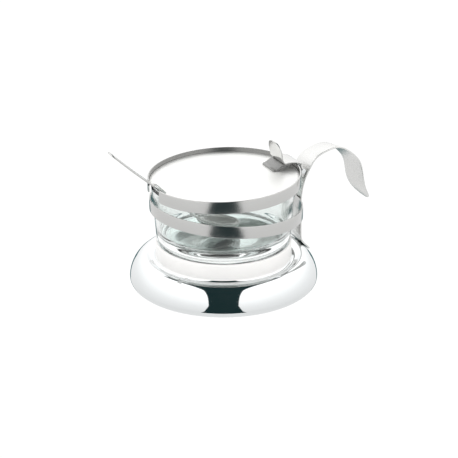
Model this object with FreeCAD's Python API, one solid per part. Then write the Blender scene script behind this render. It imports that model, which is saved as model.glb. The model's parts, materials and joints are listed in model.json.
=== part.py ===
"""Sugar bowl: a glass cup on a spun steel base, held by a ring on a bent strip that is also
the handle, with a hinged steel lid and a spoon that stands in the lid's notch.

Frame: millimetres, +Z up, origin at the centre of the underside, +X towards the handle.
"""
import FreeCAD, Part
import math
import os

from FreeCAD import Vector

# ---- driving dimensions -------------------------------------------------------------------

SHEET = 1.0                    # base, ring and band sheet
STRIP_THICKNESS = 1.2          # handle strip
WELD_BITE = 0.15               # how far welded sheets are pressed together before they are trimmed

# glass: the other rounds follow its rim
GLASS_RIM_RADIUS = 49.0
GLASS_HEIGHT = 42.0
GLASS_WALL = 3.0
GLASS_FLOOR = 6.5
GLASS_GAP = 0.1                # under the glass's foot
GLASS_INNER_CORNER = 5.5
GLASS_BELLY_RADIUS = GLASS_RIM_RADIUS - 2.6    # outside, at the top of the bottom corner
GLASS_BELLY_HEIGHT = 6.5       # above the collar
GLASS_FOOT_RADIUS = GLASS_BELLY_RADIUS - 3.4
GLASS_CORNER_FULLNESS = 0.9    # how far the bottom corner's middle stands in from the belly

# holder ring and lid band: short upright tubes with slanted edges
RING_OUTER_RADIUS = GLASS_RIM_RADIUS + 2.4 + SHEET
RING_HEIGHT = 8.4
RING_SLOPE = -4.0              # degrees, falls towards the handle
BAND_OUTER_RADIUS = GLASS_RIM_RADIUS + 2.0 + SHEET
BAND_OFFSET = 0.6              # towards the handle
BAND_SLOPE = 2.05              # degrees, rises towards the handle
STRUT_FACE = RING_OUTER_RADIUS + 1.9           # inner face of the strut

# base: a spun shell, lowest at the rolled rim, highest at the collar that carries the glass
CREST_RADIUS = STRUT_FACE - 0.5
CREST_HEIGHT = 21.5
BULGE_RADIUS = CREST_RADIUS + 11.1
BULGE_HEIGHT = 5.6
RIM_UNDERSIDE_RADIUS = BULGE_RADIUS - 6.2
SHOULDER_FULLNESS = 1.8        # exponent of the shoulder's curve, 2 is a plain ellipse
VALLEY_HEIGHT = CREST_HEIGHT - 1.9
DIP_SHARE = 0.45               # height of the curve between crest and valley
COLLAR_RADIUS = GLASS_FOOT_RADIUS + 3.8
COLLAR_HEIGHT = CREST_HEIGHT + 10.5
COLLAR_EDGE_ROUND = 1.2
COLLAR_FOOT_ROUND = 2.4
SEAT_DEPTH = 0.8               # recess in the collar's top that keeps the glass in place
SEAT_CLEARANCE = 0.4

# underside
RIM_LIP = 2.5                  # how far the rolled rim turns in under the base
PAD_STAND = 0.5                # how far the rubber ring stands below the rim
PLATE_THICKNESS = 0.8
PLATE_MARGIN = 1.0             # between the plate's edge and the rim's roll
PLATE_BOSS_RADIUS = 30.0       # flat middle of the closing plate, pressed down to the table
PAD_OUTER_RADIUS = RIM_UNDERSIDE_RADIUS - 4.7
PAD_WIDTH = 8.0

# lid
LID_SHEET = 0.8
LID_RECESS = 3.0               # edge of the lid plate below the band's top edge
LID_DOME = 1.2
LID_FIT = 0.05                 # between plate and band, filled by the weld
LID_REST_GAP = 0.2             # above the glass rim, on the spoon side
NOTCH_HALF_WIDTH = 10.8
NOTCH_DEPTH = 7.0              # from the band's outside
NOTCH_CORNER = 3.0
NOTCH_SIDE = 2.4               # notch's middle to the left of the handle line

# heights that follow the glass
GLASS_TOP = COLLAR_HEIGHT - SEAT_DEPTH + GLASS_GAP + GLASS_HEIGHT
RING_TOP = GLASS_TOP - 13.4
LID_FALL = (BAND_OUTER_RADIUS - SHEET) * math.tan(math.radians(BAND_SLOPE))
BAND_TOP = GLASS_TOP + LID_REST_GAP + LID_FALL + LID_SHEET + LID_RECESS

# handle strip
STRIP_WIDTH = 19.0
LEAF_WIDTH = 21.5
LEAF_LENGTH = 24.0             # of the tapering end
TIP_WIDTH = 3.0
FOOT_INNER_RADIUS = STRUT_FACE + 4.3           # where the foot comes down on the shoulder
FOOT_OUTER_RADIUS = FOOT_INNER_RADIUS + 3.0
FOOT_GAP = 0.1
STRIP_YAW = -0.10              # how far the free part of the strip is bent out of square
STRIP_ROLL = -0.11
SKEW_START = 0.26              # shares of the strip's length
SKEW_FULL = 0.42
SWELL_START = 0.62
STRIP_STATIONS = 49
# middle line of the strut's lower bend: out from the strut's middle, up from the crest
STRUT_BEND = ((1.1, 2.4), (0.3, 8.0))
# middle line of the strut past the holder ring: down from the ring's top edge
STRUT_LEVELS = (14.0, 3.5)
# middle line of the free part: out from the knuckle's outside and up from the hinge axis
STRIP_BENDS = ((-1.0, -5.2), (1.7, 0.2), (6.1, 6.8), (15.0, 11.4), (24.5, 12.7),
               (34.0, 7.6), (40.8, -0.4), (43.4, -10.0), (46.1, -19.4), (54.9, -30.7))

# hinge
HINGE_X = STRUT_FACE + 2.3
HINGE_Z = BAND_TOP - 4.5
PIN_RADIUS = 1.0
PIN_CLEARANCE = 0.05
PIN_HEAD_RADIUS = PIN_RADIUS + 0.8
PIN_HEAD = 0.8
PIN_END_PLAY = 0.1
KNUCKLE_RADIUS = PIN_RADIUS + 0.9
KNUCKLE_HALF = 6.6
EAR_THICKNESS = 1.2
EAR_GAP = 0.3
EAR_RADIUS = PIN_RADIUS + 1.0
BRACKET_DROP = KNUCKLE_RADIUS + 2.7            # bracket's lower edge below the hinge axis
BRACKET_ROOM = 0.5             # below the knuckle
BRACKET_TOP = -0.3             # and its upper edge
BRACKET_BACK = KNUCKLE_RADIUS + 0.95           # from the axis to the face that meets the strip
BRACKET_PLATE = 0.55

# lid strap
STRAP_WIDTH = 18.8
STRAP_THICKNESS = 0.9
STRAP_TOP = BAND_TOP + 3.8
STRAP_BEND = 1.6
STRAP_RISE = 4.2               # straight part above the hinge axis
STRAP_STATIONS = 41
STRAP_SPREAD = (0.08, 0.16)    # shares of its length where it widens from the knuckle
FOLD_X = HINGE_X - 16.2
TAB_HEIGHT = 14.0
TAB_LEAN = 2.6
TAB_ROUND = 0.62               # share of the tab's height that is rounded off
LEG_REACH = 5.0
LEG_FOOT = 2.2                 # of the leg, flat on the lid
LEG_LAP = 5.0                  # of the leg, flat under the strap

# spoon, worked out along its own axis and then leant on the glass rim
SPOON_SLOPE = 41.0             # degrees above the table
SPOON_SIDE = 3.0               # to the left of the handle line
SPOON_THICKNESS = 1.2
SPOON_NECK_WIDTH = 4.4
SPOON_END_WIDTH = 9.0
SPOON_END_TIP = 2.0            # width at the rounded end
SPOON_END_ROUND = 5.0
SPOON_END_LIFT = 0.8
SPOON_OUTSIDE = 46.5           # from the rim to the free end
SPOON_SHANK = 8.0              # from the free end's wide part to the neck, outside the rim
SPOON_STATIONS = 31
SPOON_BOWL_LENGTH = 32.0
SPOON_BOWL_WIDTH = 24.0
SPOON_BOWL_DEPTH = 6.0
SPOON_BOWL_TILT = 29.0         # degrees, the bowl lies flatter than the handle
SPOON_BOWL_LIFT = 0.7          # of the thickness, of the dish's edge above the handle's underside
SPOON_REST_GAP = 0.15
SPOON_FLOOR_GAP = 0.4

AXIS = Vector(0, 0, 1)
CENTRE = Vector(0, 0, 0)
FULL_TURN = 360
THROUGH = 400.0                # longer than anything it cuts


# ---- small tools --------------------------------------------------------------------------

def curve_through(points):
    """A smooth edge through the given points."""
    spline = Part.BSplineCurve()
    spline.interpolate(points)
    return spline.toShape()


def line(start, end):
    return Part.LineSegment(start, end).toShape()


def radial(radius, height):
    """A point of a profile that is turned about the Z axis."""
    return Vector(radius, 0, height)


def turned(edges):
    """The solid of revolution of a closed outline in the XZ plane."""
    face = Part.Face(Part.Wire(Part.__sortEdges__(edges)))
    return Part.makeSolid(face.revolve(CENTRE, AXIS, FULL_TURN))


def turned_outline(points):
    """The same for an outline of straight lines."""
    return turned([line(a, b) for a, b in zip(points, points[1:] + points[:1])])


def offset_profile(points, distance):
    """The points moved square to the profile, to its right as it runs."""
    moved = []
    for index, point in enumerate(points):
        before = points[max(index - 1, 0)]
        after = points[min(index + 1, len(points) - 1)]
        run = (after - before).normalize()
        moved.append(point + Vector(run.z, 0, -run.x) * distance)
    return moved


def tube(outer, inner, bottom, top, x=0.0):
    place = Vector(x, 0, bottom)
    return Part.makeCylinder(outer, top - bottom, place).cut(Part.makeCylinder(inner, top - bottom, place))


def cylinder_y(radius, half_length, x, z, y=0.0):
    """A cylinder along Y, centred on y."""
    return Part.makeCylinder(radius, 2 * half_length, Vector(x, y - half_length, z), Vector(0, 1, 0))


def slanted_band(outer, x, top, height, slope, sheet):
    """An upright tube whose two edges slope along X."""
    drop = outer * math.tan(math.radians(abs(slope))) + height
    band = tube(outer, outer - sheet, top - height - drop, top + drop, x)
    rise = math.tan(math.radians(slope)) * THROUGH / 2
    corners = [Vector(-THROUGH / 2, -THROUGH / 2, top - height - rise),
               Vector(THROUGH / 2, -THROUGH / 2, top - height + rise),
               Vector(THROUGH / 2, -THROUGH / 2, top + rise),
               Vector(-THROUGH / 2, -THROUGH / 2, top - rise)]
    slab = Part.Face(Part.makePolygon(corners + corners[:1])).extrude(Vector(0, THROUGH, 0))
    return band.common(slab)


def bent_strip(path, stations, thickness, width_at, skew_at):
    """A flat strip along a path in the XZ plane.

    At each station the cross-section is a rectangle square to the path. width_at gives its
    width and skew_at how far its width leans along X and Z, for a share of the path's length.
    """
    sections = []
    curve = path.Curve
    for index in range(stations):
        share = index / (stations - 1)
        place = path.getParameterByLength(share * path.Length)
        point = path.valueAt(place)
        run = curve.tangent(place)[0]
        yaw, roll = skew_at(share)
        across = Vector(yaw, 1, roll).normalize()
        out = run.cross(across).normalize()
        half = across * (width_at(share) / 2)
        up = out * (thickness / 2)
        corners = [point - half - up, point + half - up, point + half + up, point - half + up]
        sections.append(Part.makePolygon(corners + corners[:1]))
    return Part.makeLoft(sections, True, False)


def largest(shape):
    """The biggest solid of a shape that a cut may have left in pieces."""
    return max(shape.Solids, key=lambda solid: solid.Volume)


def square(share):
    return (0.0, 0.0)


# ---- base ---------------------------------------------------------------------------------

def superellipse(start, end, exponent, count):
    """Points on a quarter of a superellipse, from its outermost point to its highest one."""
    points = []
    for index in range(count):
        angle = math.pi / 2 * index / (count - 1)
        across = max(math.cos(angle), 0.0) ** (2 / exponent)
        along = max(math.sin(angle), 0.0) ** (2 / exponent)
        points.append(radial(end.x + (start.x - end.x) * across, start.z + (end.z - start.z) * along))
    return points


def shoulder_height(radius):
    """Height of the shoulder's outside at a radius between crest and bulge."""
    across = (radius - CREST_RADIUS) / (BULGE_RADIUS - CREST_RADIUS)
    along = (1 - across ** SHOULDER_FULLNESS) ** (1 / SHOULDER_FULLNESS)
    return BULGE_HEIGHT + (CREST_HEIGHT - BULGE_HEIGHT) * along


def base_profile():
    """Outside of the spun shell, from the rim's lip up to the foot of the collar."""
    rim = radial(RIM_UNDERSIDE_RADIUS, PAD_STAND)
    bulge = radial(BULGE_RADIUS, BULGE_HEIGHT)
    crest = radial(CREST_RADIUS, CREST_HEIGHT)
    lower = []
    for index in range(6):
        angle = math.pi / 2 * index / 6
        lower.append(radial(rim.x + (bulge.x - rim.x) * math.sin(angle),
                            bulge.z - (bulge.z - rim.z) * math.cos(angle)))
    shoulder = superellipse(bulge, crest, SHOULDER_FULLNESS, 14)
    foot = radial(COLLAR_RADIUS + COLLAR_FOOT_ROUND, VALLEY_HEIGHT)
    half_way = (CREST_RADIUS + foot.x) / 2
    dip = radial(half_way, VALLEY_HEIGHT + (CREST_HEIGHT - VALLEY_HEIGHT) * DIP_SHARE)
    return [radial(rim.x - RIM_LIP, PAD_STAND)] + lower + shoulder + [dip, foot]


def base_shell():
    outside = base_profile()
    inside = offset_profile(outside, -SHEET)
    inside[-1] = radial(outside[-1].x, outside[-1].z - SHEET)
    seat = COLLAR_HEIGHT - SEAT_DEPTH
    seat_radius = GLASS_FOOT_RADIUS + SEAT_CLEARANCE
    wall_foot = radial(COLLAR_RADIUS, VALLEY_HEIGHT + COLLAR_FOOT_ROUND)
    foot_mid = radial(COLLAR_RADIUS + COLLAR_FOOT_ROUND * (1 - math.sqrt(0.5)),
                      VALLEY_HEIGHT + COLLAR_FOOT_ROUND * (1 - math.sqrt(0.5)))
    wall_top = radial(COLLAR_RADIUS, COLLAR_HEIGHT - COLLAR_EDGE_ROUND)
    edge_mid = radial(COLLAR_RADIUS - COLLAR_EDGE_ROUND * (1 - math.sqrt(0.5)),
                      COLLAR_HEIGHT - COLLAR_EDGE_ROUND * (1 - math.sqrt(0.5)))
    edge_top = radial(COLLAR_RADIUS - COLLAR_EDGE_ROUND, COLLAR_HEIGHT)
    inner_wall = COLLAR_RADIUS - SHEET
    edges = [
        curve_through(outside),
        Part.Arc(outside[-1], foot_mid, wall_foot).toShape(),
        line(wall_foot, wall_top),
        Part.Arc(wall_top, edge_mid, edge_top).toShape(),
        line(edge_top, radial(seat_radius, COLLAR_HEIGHT)),
        line(radial(seat_radius, COLLAR_HEIGHT), radial(seat_radius, seat)),
        line(radial(seat_radius, seat), radial(0, seat)),
        line(radial(0, seat), radial(0, seat - SHEET)),
        line(radial(0, seat - SHEET), radial(inner_wall, seat - SHEET)),
        line(radial(inner_wall, seat - SHEET), radial(inner_wall, inside[-1].z)),
        line(radial(inner_wall, inside[-1].z), inside[-1]),
        curve_through(inside),
        line(inside[0], outside[0]),
    ]
    return turned(edges)


def closing_plate():
    """Steel plate on the rim's lip, with a flat boss in the middle that reaches the table."""
    level = PAD_STAND + SHEET
    reach = RIM_UNDERSIDE_RADIUS - PLATE_MARGIN
    plate = turned_outline([
        radial(0, 0), radial(PLATE_BOSS_RADIUS, 0), radial(PLATE_BOSS_RADIUS + level, level),
        radial(reach, level), radial(reach, level + PLATE_THICKNESS),
        radial(PLATE_BOSS_RADIUS + level - PLATE_THICKNESS, level + PLATE_THICKNESS),
        radial(PLATE_BOSS_RADIUS - PLATE_THICKNESS, PLATE_THICKNESS), radial(0, PLATE_THICKNESS)])
    return largest(plate.cut(base_shell()))


def non_slip_ring():
    """Rubber ring bonded to the closing plate."""
    return tube(PAD_OUTER_RADIUS, PAD_OUTER_RADIUS - PAD_WIDTH, 0, PAD_STAND + SHEET)


# ---- glass --------------------------------------------------------------------------------

def glass_bowl():
    """Thick cup: rounded outside corner, rounded inside corner, slightly flared wall."""
    seat = COLLAR_HEIGHT - SEAT_DEPTH + GLASS_GAP
    belly = seat + SEAT_DEPTH + GLASS_BELLY_HEIGHT
    flare = (GLASS_RIM_RADIUS - GLASS_BELLY_RADIUS) / (GLASS_TOP - belly)
    floor = seat + GLASS_FLOOR
    lip = GLASS_WALL / 2
    corner = floor + GLASS_INNER_CORNER
    inner_rim = GLASS_RIM_RADIUS - GLASS_WALL
    inner_corner = inner_rim - (GLASS_TOP - lip - corner) * flare
    over_seat = COLLAR_HEIGHT + GLASS_GAP
    outer_mid = radial(GLASS_BELLY_RADIUS - GLASS_CORNER_FULLNESS, over_seat + (belly - over_seat) * 0.38)
    bend = GLASS_INNER_CORNER * (1 - math.sqrt(0.5))
    rim = radial(GLASS_RIM_RADIUS, GLASS_TOP - lip)
    foot = radial(GLASS_FOOT_RADIUS, seat)
    ledge = radial(GLASS_FOOT_RADIUS, over_seat)
    edges = [
        line(radial(0, seat), foot),
        line(foot, ledge),
        Part.Arc(ledge, outer_mid, radial(GLASS_BELLY_RADIUS, belly)).toShape(),
        line(radial(GLASS_BELLY_RADIUS, belly), rim),
        Part.Arc(rim, radial(GLASS_RIM_RADIUS - lip, GLASS_TOP), radial(inner_rim, GLASS_TOP - lip)).toShape(),
        line(radial(inner_rim, GLASS_TOP - lip), radial(inner_corner, corner)),
        Part.Arc(radial(inner_corner, corner), radial(inner_corner - bend, floor + bend),
                 radial(inner_corner - GLASS_INNER_CORNER, floor)).toShape(),
        line(radial(inner_corner - GLASS_INNER_CORNER, floor), radial(0, floor)),
        line(radial(0, floor), radial(0, seat)),
    ]
    return turned(edges)


# ---- holder ring --------------------------------------------------------------------------

def holder_ring():
    """Ring round the glass, welded to the strut's inner face."""
    ring = slanted_band(RING_OUTER_RADIUS, STRUT_FACE + WELD_BITE - RING_OUTER_RADIUS, RING_TOP,
                        RING_HEIGHT, RING_SLOPE, SHEET)
    return largest(ring.cut(handle_strip()))


# ---- handle strip -------------------------------------------------------------------------

def handle_path():
    """Middle line of the strip: foot on the shoulder, strut, rise, crest, fall and flared tip."""
    lift = STRIP_THICKNESS / 2 + FOOT_GAP
    foot = []
    for radius in (FOOT_OUTER_RADIUS, (FOOT_OUTER_RADIUS + FOOT_INNER_RADIUS) / 2, FOOT_INNER_RADIUS):
        step = 0.05
        fall = (shoulder_height(radius + step) - shoulder_height(radius - step)) / (2 * step)
        out = Vector(-fall, 0, 1).normalize()
        foot.append(radial(radius, shoulder_height(radius)) + out * lift)
    strut = STRUT_FACE + STRIP_THICKNESS / 2
    bend = [Vector(strut + out, 0, CREST_HEIGHT + up) for out, up in STRUT_BEND]
    upright = [Vector(strut, 0, RING_TOP - down) for down in STRUT_LEVELS]
    free = [Vector(HINGE_X + KNUCKLE_RADIUS + out, 0, HINGE_Z + up) for out, up in STRIP_BENDS]
    return curve_through(foot + bend + upright + free)


def handle_strip():
    path = handle_path()
    leaf_start = 1 - LEAF_LENGTH / path.Length

    def width_at(share):
        if share < SWELL_START:
            return STRIP_WIDTH
        if share < leaf_start:
            swell = (share - SWELL_START) / (leaf_start - SWELL_START)
            return STRIP_WIDTH + (LEAF_WIDTH - STRIP_WIDTH) * math.sin(swell * math.pi / 2) ** 2
        taper = (share - leaf_start) / (1 - leaf_start)
        return TIP_WIDTH + (LEAF_WIDTH - TIP_WIDTH) * (1 - taper ** 2.1) ** 0.8

    def skew_at(share):
        blend = min(max((share - SKEW_START) / (SKEW_FULL - SKEW_START), 0.0), 1.0)
        blend = blend * blend * (3 - 2 * blend)
        return (STRIP_YAW * blend, STRIP_ROLL * blend)

    return bent_strip(path, STRIP_STATIONS, STRIP_THICKNESS, width_at, skew_at)


# ---- hinge --------------------------------------------------------------------------------

def ear_positions():
    middle = KNUCKLE_HALF + EAR_GAP + EAR_THICKNESS / 2
    return (-middle, middle)


def hinge_bracket():
    """Plate on the strip's inner face with two ears that hold the pin."""
    half = KNUCKLE_HALF + EAR_GAP + EAR_THICKNESS
    low = HINGE_Z - BRACKET_DROP
    high = HINGE_Z + BRACKET_TOP
    back = [Vector(HINGE_X + 1.0, 0, low), Vector(HINGE_X + BRACKET_BACK, 0, high)]
    front = [Vector(HINGE_X + BRACKET_BACK - BRACKET_PLATE, 0, high),
             Vector(HINGE_X + KNUCKLE_RADIUS - 1.0, 0, HINGE_Z - KNUCKLE_RADIUS - BRACKET_ROOM),
             Vector(HINGE_X - 0.1, 0, low)]
    corners = back + front
    bracket = Part.Face(Part.makePolygon(corners + corners[:1])).extrude(Vector(0, 2 * half, 0))
    bracket.translate(Vector(0, -half, 0))
    web_corners = back + [Vector(HINGE_X + EAR_RADIUS * 0.6, 0, HINGE_Z + EAR_RADIUS * 0.8),
                          Vector(HINGE_X - EAR_RADIUS * 0.8, 0, HINGE_Z - EAR_RADIUS * 0.6), front[-1]]
    web_face = Part.Face(Part.makePolygon(web_corners + web_corners[:1]))
    for y in ear_positions():
        ear = cylinder_y(EAR_RADIUS, EAR_THICKNESS / 2, HINGE_X, HINGE_Z, y)
        web = web_face.extrude(Vector(0, EAR_THICKNESS, 0))
        web.translate(Vector(0, y - EAR_THICKNESS / 2, 0))
        bracket = bracket.fuse(ear).fuse(web)
    hole = cylinder_y(PIN_RADIUS + PIN_CLEARANCE, THROUGH / 2, HINGE_X, HINGE_Z)
    return largest(bracket.cut(hole).cut(handle_strip()).removeSplitter())


def hinge_pin():
    half = KNUCKLE_HALF + EAR_GAP + EAR_THICKNESS + PIN_END_PLAY
    pin = cylinder_y(PIN_RADIUS, half + PIN_HEAD / 2, HINGE_X, HINGE_Z)
    for side in (-1, 1):
        head = cylinder_y(PIN_HEAD_RADIUS, PIN_HEAD / 2, HINGE_X, HINGE_Z, side * (half + PIN_HEAD / 2))
        pin = pin.fuse(head)
    return pin.removeSplitter()


# ---- lid ----------------------------------------------------------------------------------

def lid_level(x):
    """Height of the lid's slanted middle plane above the level at the centre."""
    return math.tan(math.radians(BAND_SLOPE)) * x


def notch_cutter():
    """Rounded slot in from the spoon side, through plate and band."""
    outer = BAND_OFFSET - BAND_OUTER_RADIUS
    inner = outer + NOTCH_DEPTH
    length = NOTCH_DEPTH + 20
    corner = Vector(inner - length, NOTCH_SIDE - NOTCH_HALF_WIDTH, 0)
    box = Part.makeBox(length, 2 * NOTCH_HALF_WIDTH, THROUGH, corner)
    corners = [edge for edge in box.Edges
               if abs(edge.Vertexes[0].X - inner) < 1e-6 and abs(edge.Vertexes[1].X - inner) < 1e-6
               and abs(edge.Vertexes[0].Z - edge.Vertexes[1].Z) > 1]
    return box.makeFillet(NOTCH_CORNER, corners)


def lid_band():
    band = slanted_band(BAND_OUTER_RADIUS, BAND_OFFSET, BAND_TOP, RING_HEIGHT, BAND_SLOPE, SHEET)
    return band.cut(notch_cutter())


def lid_edge():
    return BAND_OUTER_RADIUS - SHEET - LID_FIT


def dome_line(level):
    """Profile of the lid's dome from near its middle to its edge, at a level given at the edge."""
    edge = lid_edge()
    shares = (0.05, 0.25, 0.5, 0.75, 1.0)
    return [radial(share * edge, level + LID_DOME * (1 - share * share)) for share in shares]


def lid_plate():
    """Domed plate inside the band, notched for the spoon."""
    rim = BAND_TOP - LID_RECESS
    top = dome_line(rim)
    under = dome_line(rim - LID_SHEET)
    middle = [radial(0, top[0].z), radial(0, under[0].z)]
    plate = turned([line(middle[0], top[0]), curve_through(top), line(top[-1], under[-1]),
                    curve_through(under), line(under[0], middle[1]), line(middle[1], middle[0])])
    plate.translate(Vector(BAND_OFFSET, 0, 0))
    plate.rotate(Vector(0, 0, rim), Vector(0, 1, 0), -BAND_SLOPE)
    return plate.cut(notch_cutter())


def lid_top_at(x):
    """Height of the lid plate's top on the middle line."""
    edge = lid_edge()
    from_centre = x - BAND_OFFSET
    dome = LID_DOME * (1 - (from_centre / edge) ** 2)
    return BAND_TOP - LID_RECESS + lid_level(x) + dome


def strap_path():
    """Middle line of the lid strap: knuckle, over the band, flat, fold and upturned tab."""
    middle = STRAP_TOP - STRAP_THICKNESS / 2
    tab_top = middle + TAB_HEIGHT
    return curve_through([
        Vector(HINGE_X - 0.6, 0, HINGE_Z + KNUCKLE_RADIUS - STRAP_THICKNESS / 2 + 0.1),
        Vector(HINGE_X - 0.9, 0, HINGE_Z + STRAP_RISE),
        Vector(HINGE_X - 3.4, 0, middle - 1.0),
        Vector(HINGE_X - 7.6, 0, middle),
        Vector(FOLD_X + 4.0, 0, middle),
        Vector(FOLD_X + STRAP_BEND, 0, middle + 0.1),
        Vector(FOLD_X + 0.2, 0, middle + STRAP_BEND),
        Vector(FOLD_X - TAB_LEAN * 0.35, 0, middle + TAB_HEIGHT * 0.45),
        Vector(FOLD_X - TAB_LEAN, 0, tab_top)])


def lid_strap():
    path = strap_path()
    tab_start = 1 - TAB_HEIGHT * TAB_ROUND / path.Length
    narrow_until, full_from = STRAP_SPREAD

    def width_at(share):
        if share < full_from:
            spread = max(share - narrow_until, 0.0) / (full_from - narrow_until)
            return 2 * KNUCKLE_HALF + (STRAP_WIDTH - 2 * KNUCKLE_HALF) * spread
        if share < tab_start:
            return STRAP_WIDTH
        taper = (share - tab_start) / (1 - tab_start)
        return STRAP_WIDTH * max(1 - taper ** 2.4, 0.0) ** 0.5 + TIP_WIDTH * taper

    strip = bent_strip(path, STRAP_STATIONS, STRAP_THICKNESS, width_at, square)
    knuckle = cylinder_y(KNUCKLE_RADIUS, KNUCKLE_HALF, HINGE_X, HINGE_Z)
    hole = cylinder_y(PIN_RADIUS + PIN_CLEARANCE, THROUGH / 2, HINGE_X, HINGE_Z)
    return strip.fuse(knuckle).cut(hole).removeSplitter()


def strap_leg():
    """Sloping plate that carries the strap on the lid."""
    top = STRAP_TOP - STRAP_THICKNESS
    sheet = STRAP_THICKNESS
    low_x = FOLD_X - LEG_REACH
    toe_x = low_x - LEG_FOOT
    high_x = FOLD_X + 1.5
    lap_x = high_x + LEG_LAP
    corners = [Vector(toe_x, 0, lid_top_at(toe_x)), Vector(low_x + 0.6, 0, lid_top_at(low_x + 0.6)),
               Vector(high_x, 0, top - sheet), Vector(lap_x, 0, top - sheet), Vector(lap_x, 0, top),
               Vector(high_x - 0.5, 0, top), Vector(low_x, 0, lid_top_at(low_x) + sheet),
               Vector(toe_x, 0, lid_top_at(toe_x) + sheet)]
    leg = Part.Face(Part.makePolygon(corners + corners[:1])).extrude(Vector(0, STRAP_WIDTH, 0))
    leg.translate(Vector(0, -STRAP_WIDTH / 2, 0))
    ends = [edge for edge in leg.Edges
            if all(abs(v.X - toe_x) < 1e-6 for v in edge.Vertexes)
            and abs(edge.Vertexes[0].Z - edge.Vertexes[-1].Z) > sheet / 2]
    return leg.makeFillet(LEG_FOOT * 0.9, ends)


# ---- spoon --------------------------------------------------------------------------------

def spoon_rest_reach():
    """From the middle of the rim's round to the spoon's underside."""
    return GLASS_WALL / 2 + SPOON_REST_GAP


def spoon_inside_length():
    """From the rim to the dish, so that the dish stops just over the glass floor."""
    half = SPOON_BOWL_LENGTH / 2
    flat = math.radians(SPOON_SLOPE - SPOON_BOWL_TILT)
    dish_drop = (half - SPOON_THICKNESS) * math.sin(flat) + math.hypot(
        half * math.sin(flat), SPOON_BOWL_DEPTH * math.cos(flat))
    floor = COLLAR_HEIGHT - SEAT_DEPTH + GLASS_GAP + GLASS_FLOOR
    slope = math.radians(SPOON_SLOPE)
    lift = spoon_rest_reach() + SPOON_BOWL_LIFT * SPOON_THICKNESS
    depth = GLASS_TOP - GLASS_WALL / 2 + lift * math.cos(slope) - floor
    return (depth - dish_drop - SPOON_FLOOR_GAP) / math.sin(slope)


def spoon_handle():
    """The handle along X with its free end at negative X, and the rim crossing at the origin."""
    inside = spoon_inside_length()

    def width_at(share):
        along = -SPOON_OUTSIDE + share * (SPOON_OUTSIDE + inside)
        tip = (along + SPOON_OUTSIDE) / SPOON_END_ROUND
        if tip < 1:
            round_off = math.sqrt(max(1 - (1 - tip) ** 2, 0.0))
            return SPOON_END_TIP + (SPOON_END_WIDTH - SPOON_END_TIP) * round_off
        if along < -SPOON_SHANK:
            return SPOON_END_WIDTH
        if along < 0:
            blend = (along + SPOON_SHANK) / SPOON_SHANK
            blend = blend * blend * (3 - 2 * blend)
            return SPOON_END_WIDTH + (SPOON_NECK_WIDTH - SPOON_END_WIDTH) * blend
        return SPOON_NECK_WIDTH

    lift = SPOON_THICKNESS / 2
    path = curve_through([Vector(-SPOON_OUTSIDE, 0, lift + SPOON_END_LIFT), Vector(-SPOON_OUTSIDE / 2, 0, lift),
                          Vector(-SPOON_SHANK, 0, lift), Vector(inside / 2, 0, lift), Vector(inside, 0, lift)])
    return bent_strip(path, SPOON_STATIONS, SPOON_THICKNESS, width_at, square)


def quarter_ellipse(radius, depth):
    """Half profile of a dish, from the edge of its flat bottom to its rim."""
    steps = 8
    angles = [math.pi / 2 * index / steps for index in range(1, steps + 1)]
    return [radial(radius * math.sin(angle), -depth * math.cos(angle)) for angle in angles]


def spoon_dish():
    """Oval dish: a round one turned about Z and stretched along the spoon."""
    radius = SPOON_BOWL_WIDTH / 2
    outer = quarter_ellipse(radius, SPOON_BOWL_DEPTH)
    inner = quarter_ellipse(radius - SPOON_THICKNESS, SPOON_BOWL_DEPTH - SPOON_THICKNESS)
    bottom = radial(0, outer[0].z)
    hollow = radial(0, inner[0].z)
    dish = turned([line(bottom, outer[0]), curve_through(outer), line(outer[-1], inner[-1]),
                   curve_through(inner), line(inner[0], hollow), line(hollow, bottom)])
    stretch = FreeCAD.Matrix()
    stretch.scale(Vector(SPOON_BOWL_LENGTH / SPOON_BOWL_WIDTH, 1, 1))
    dish = dish.transformGeometry(stretch)
    dish.rotate(CENTRE, Vector(0, 1, 0), -SPOON_BOWL_TILT)
    tilt = math.radians(SPOON_BOWL_TILT)
    reach = SPOON_BOWL_LENGTH / 2 - SPOON_THICKNESS
    dish.translate(Vector(spoon_inside_length() + reach * math.cos(tilt), 0,
                          SPOON_THICKNESS * SPOON_BOWL_LIFT + reach * math.sin(tilt)))
    return dish


def spoon():
    """Leant on the glass rim, with its dish towards the middle of the glass."""
    whole = spoon_handle().fuse(spoon_dish())
    rim_x = -math.sqrt((GLASS_RIM_RADIUS - GLASS_WALL / 2) ** 2 - (SPOON_SIDE + SPOON_NECK_WIDTH / 2) ** 2)
    slope = math.radians(SPOON_SLOPE)
    reach = spoon_rest_reach()
    whole.rotate(CENTRE, Vector(0, 1, 0), SPOON_SLOPE)
    whole.translate(Vector(rim_x + reach * math.sin(slope), SPOON_SIDE,
                           GLASS_TOP - GLASS_WALL / 2 + reach * math.cos(slope)))
    return whole


# ---- build --------------------------------------------------------------------------------

PARTS = {
    "base_shell": base_shell,
    "closing_plate": closing_plate,
    "non_slip_ring": non_slip_ring,
    "glass_bowl": glass_bowl,
    "holder_ring": holder_ring,
    "handle_strip": handle_strip,
    "hinge_bracket": hinge_bracket,
    "hinge_pin": hinge_pin,
    "lid_plate": lid_plate,
    "lid_band": lid_band,
    "lid_strap": lid_strap,
    "strap_leg": strap_leg,
    "spoon": spoon,
}

os.makedirs("parts", exist_ok=True)
for name, build in PARTS.items():
    shape = build()
    box = shape.BoundBox
    print(name, "valid" if shape.isValid() else "NOT VALID", "solids", len(shape.Solids),
          "volume %.1f" % shape.Volume,
          "box %.1f %.1f %.1f to %.1f %.1f %.1f" % (box.XMin, box.YMin, box.ZMin, box.XMax, box.YMax, box.ZMax))
    shape.exportStep("parts/" + name + ".step")
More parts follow.
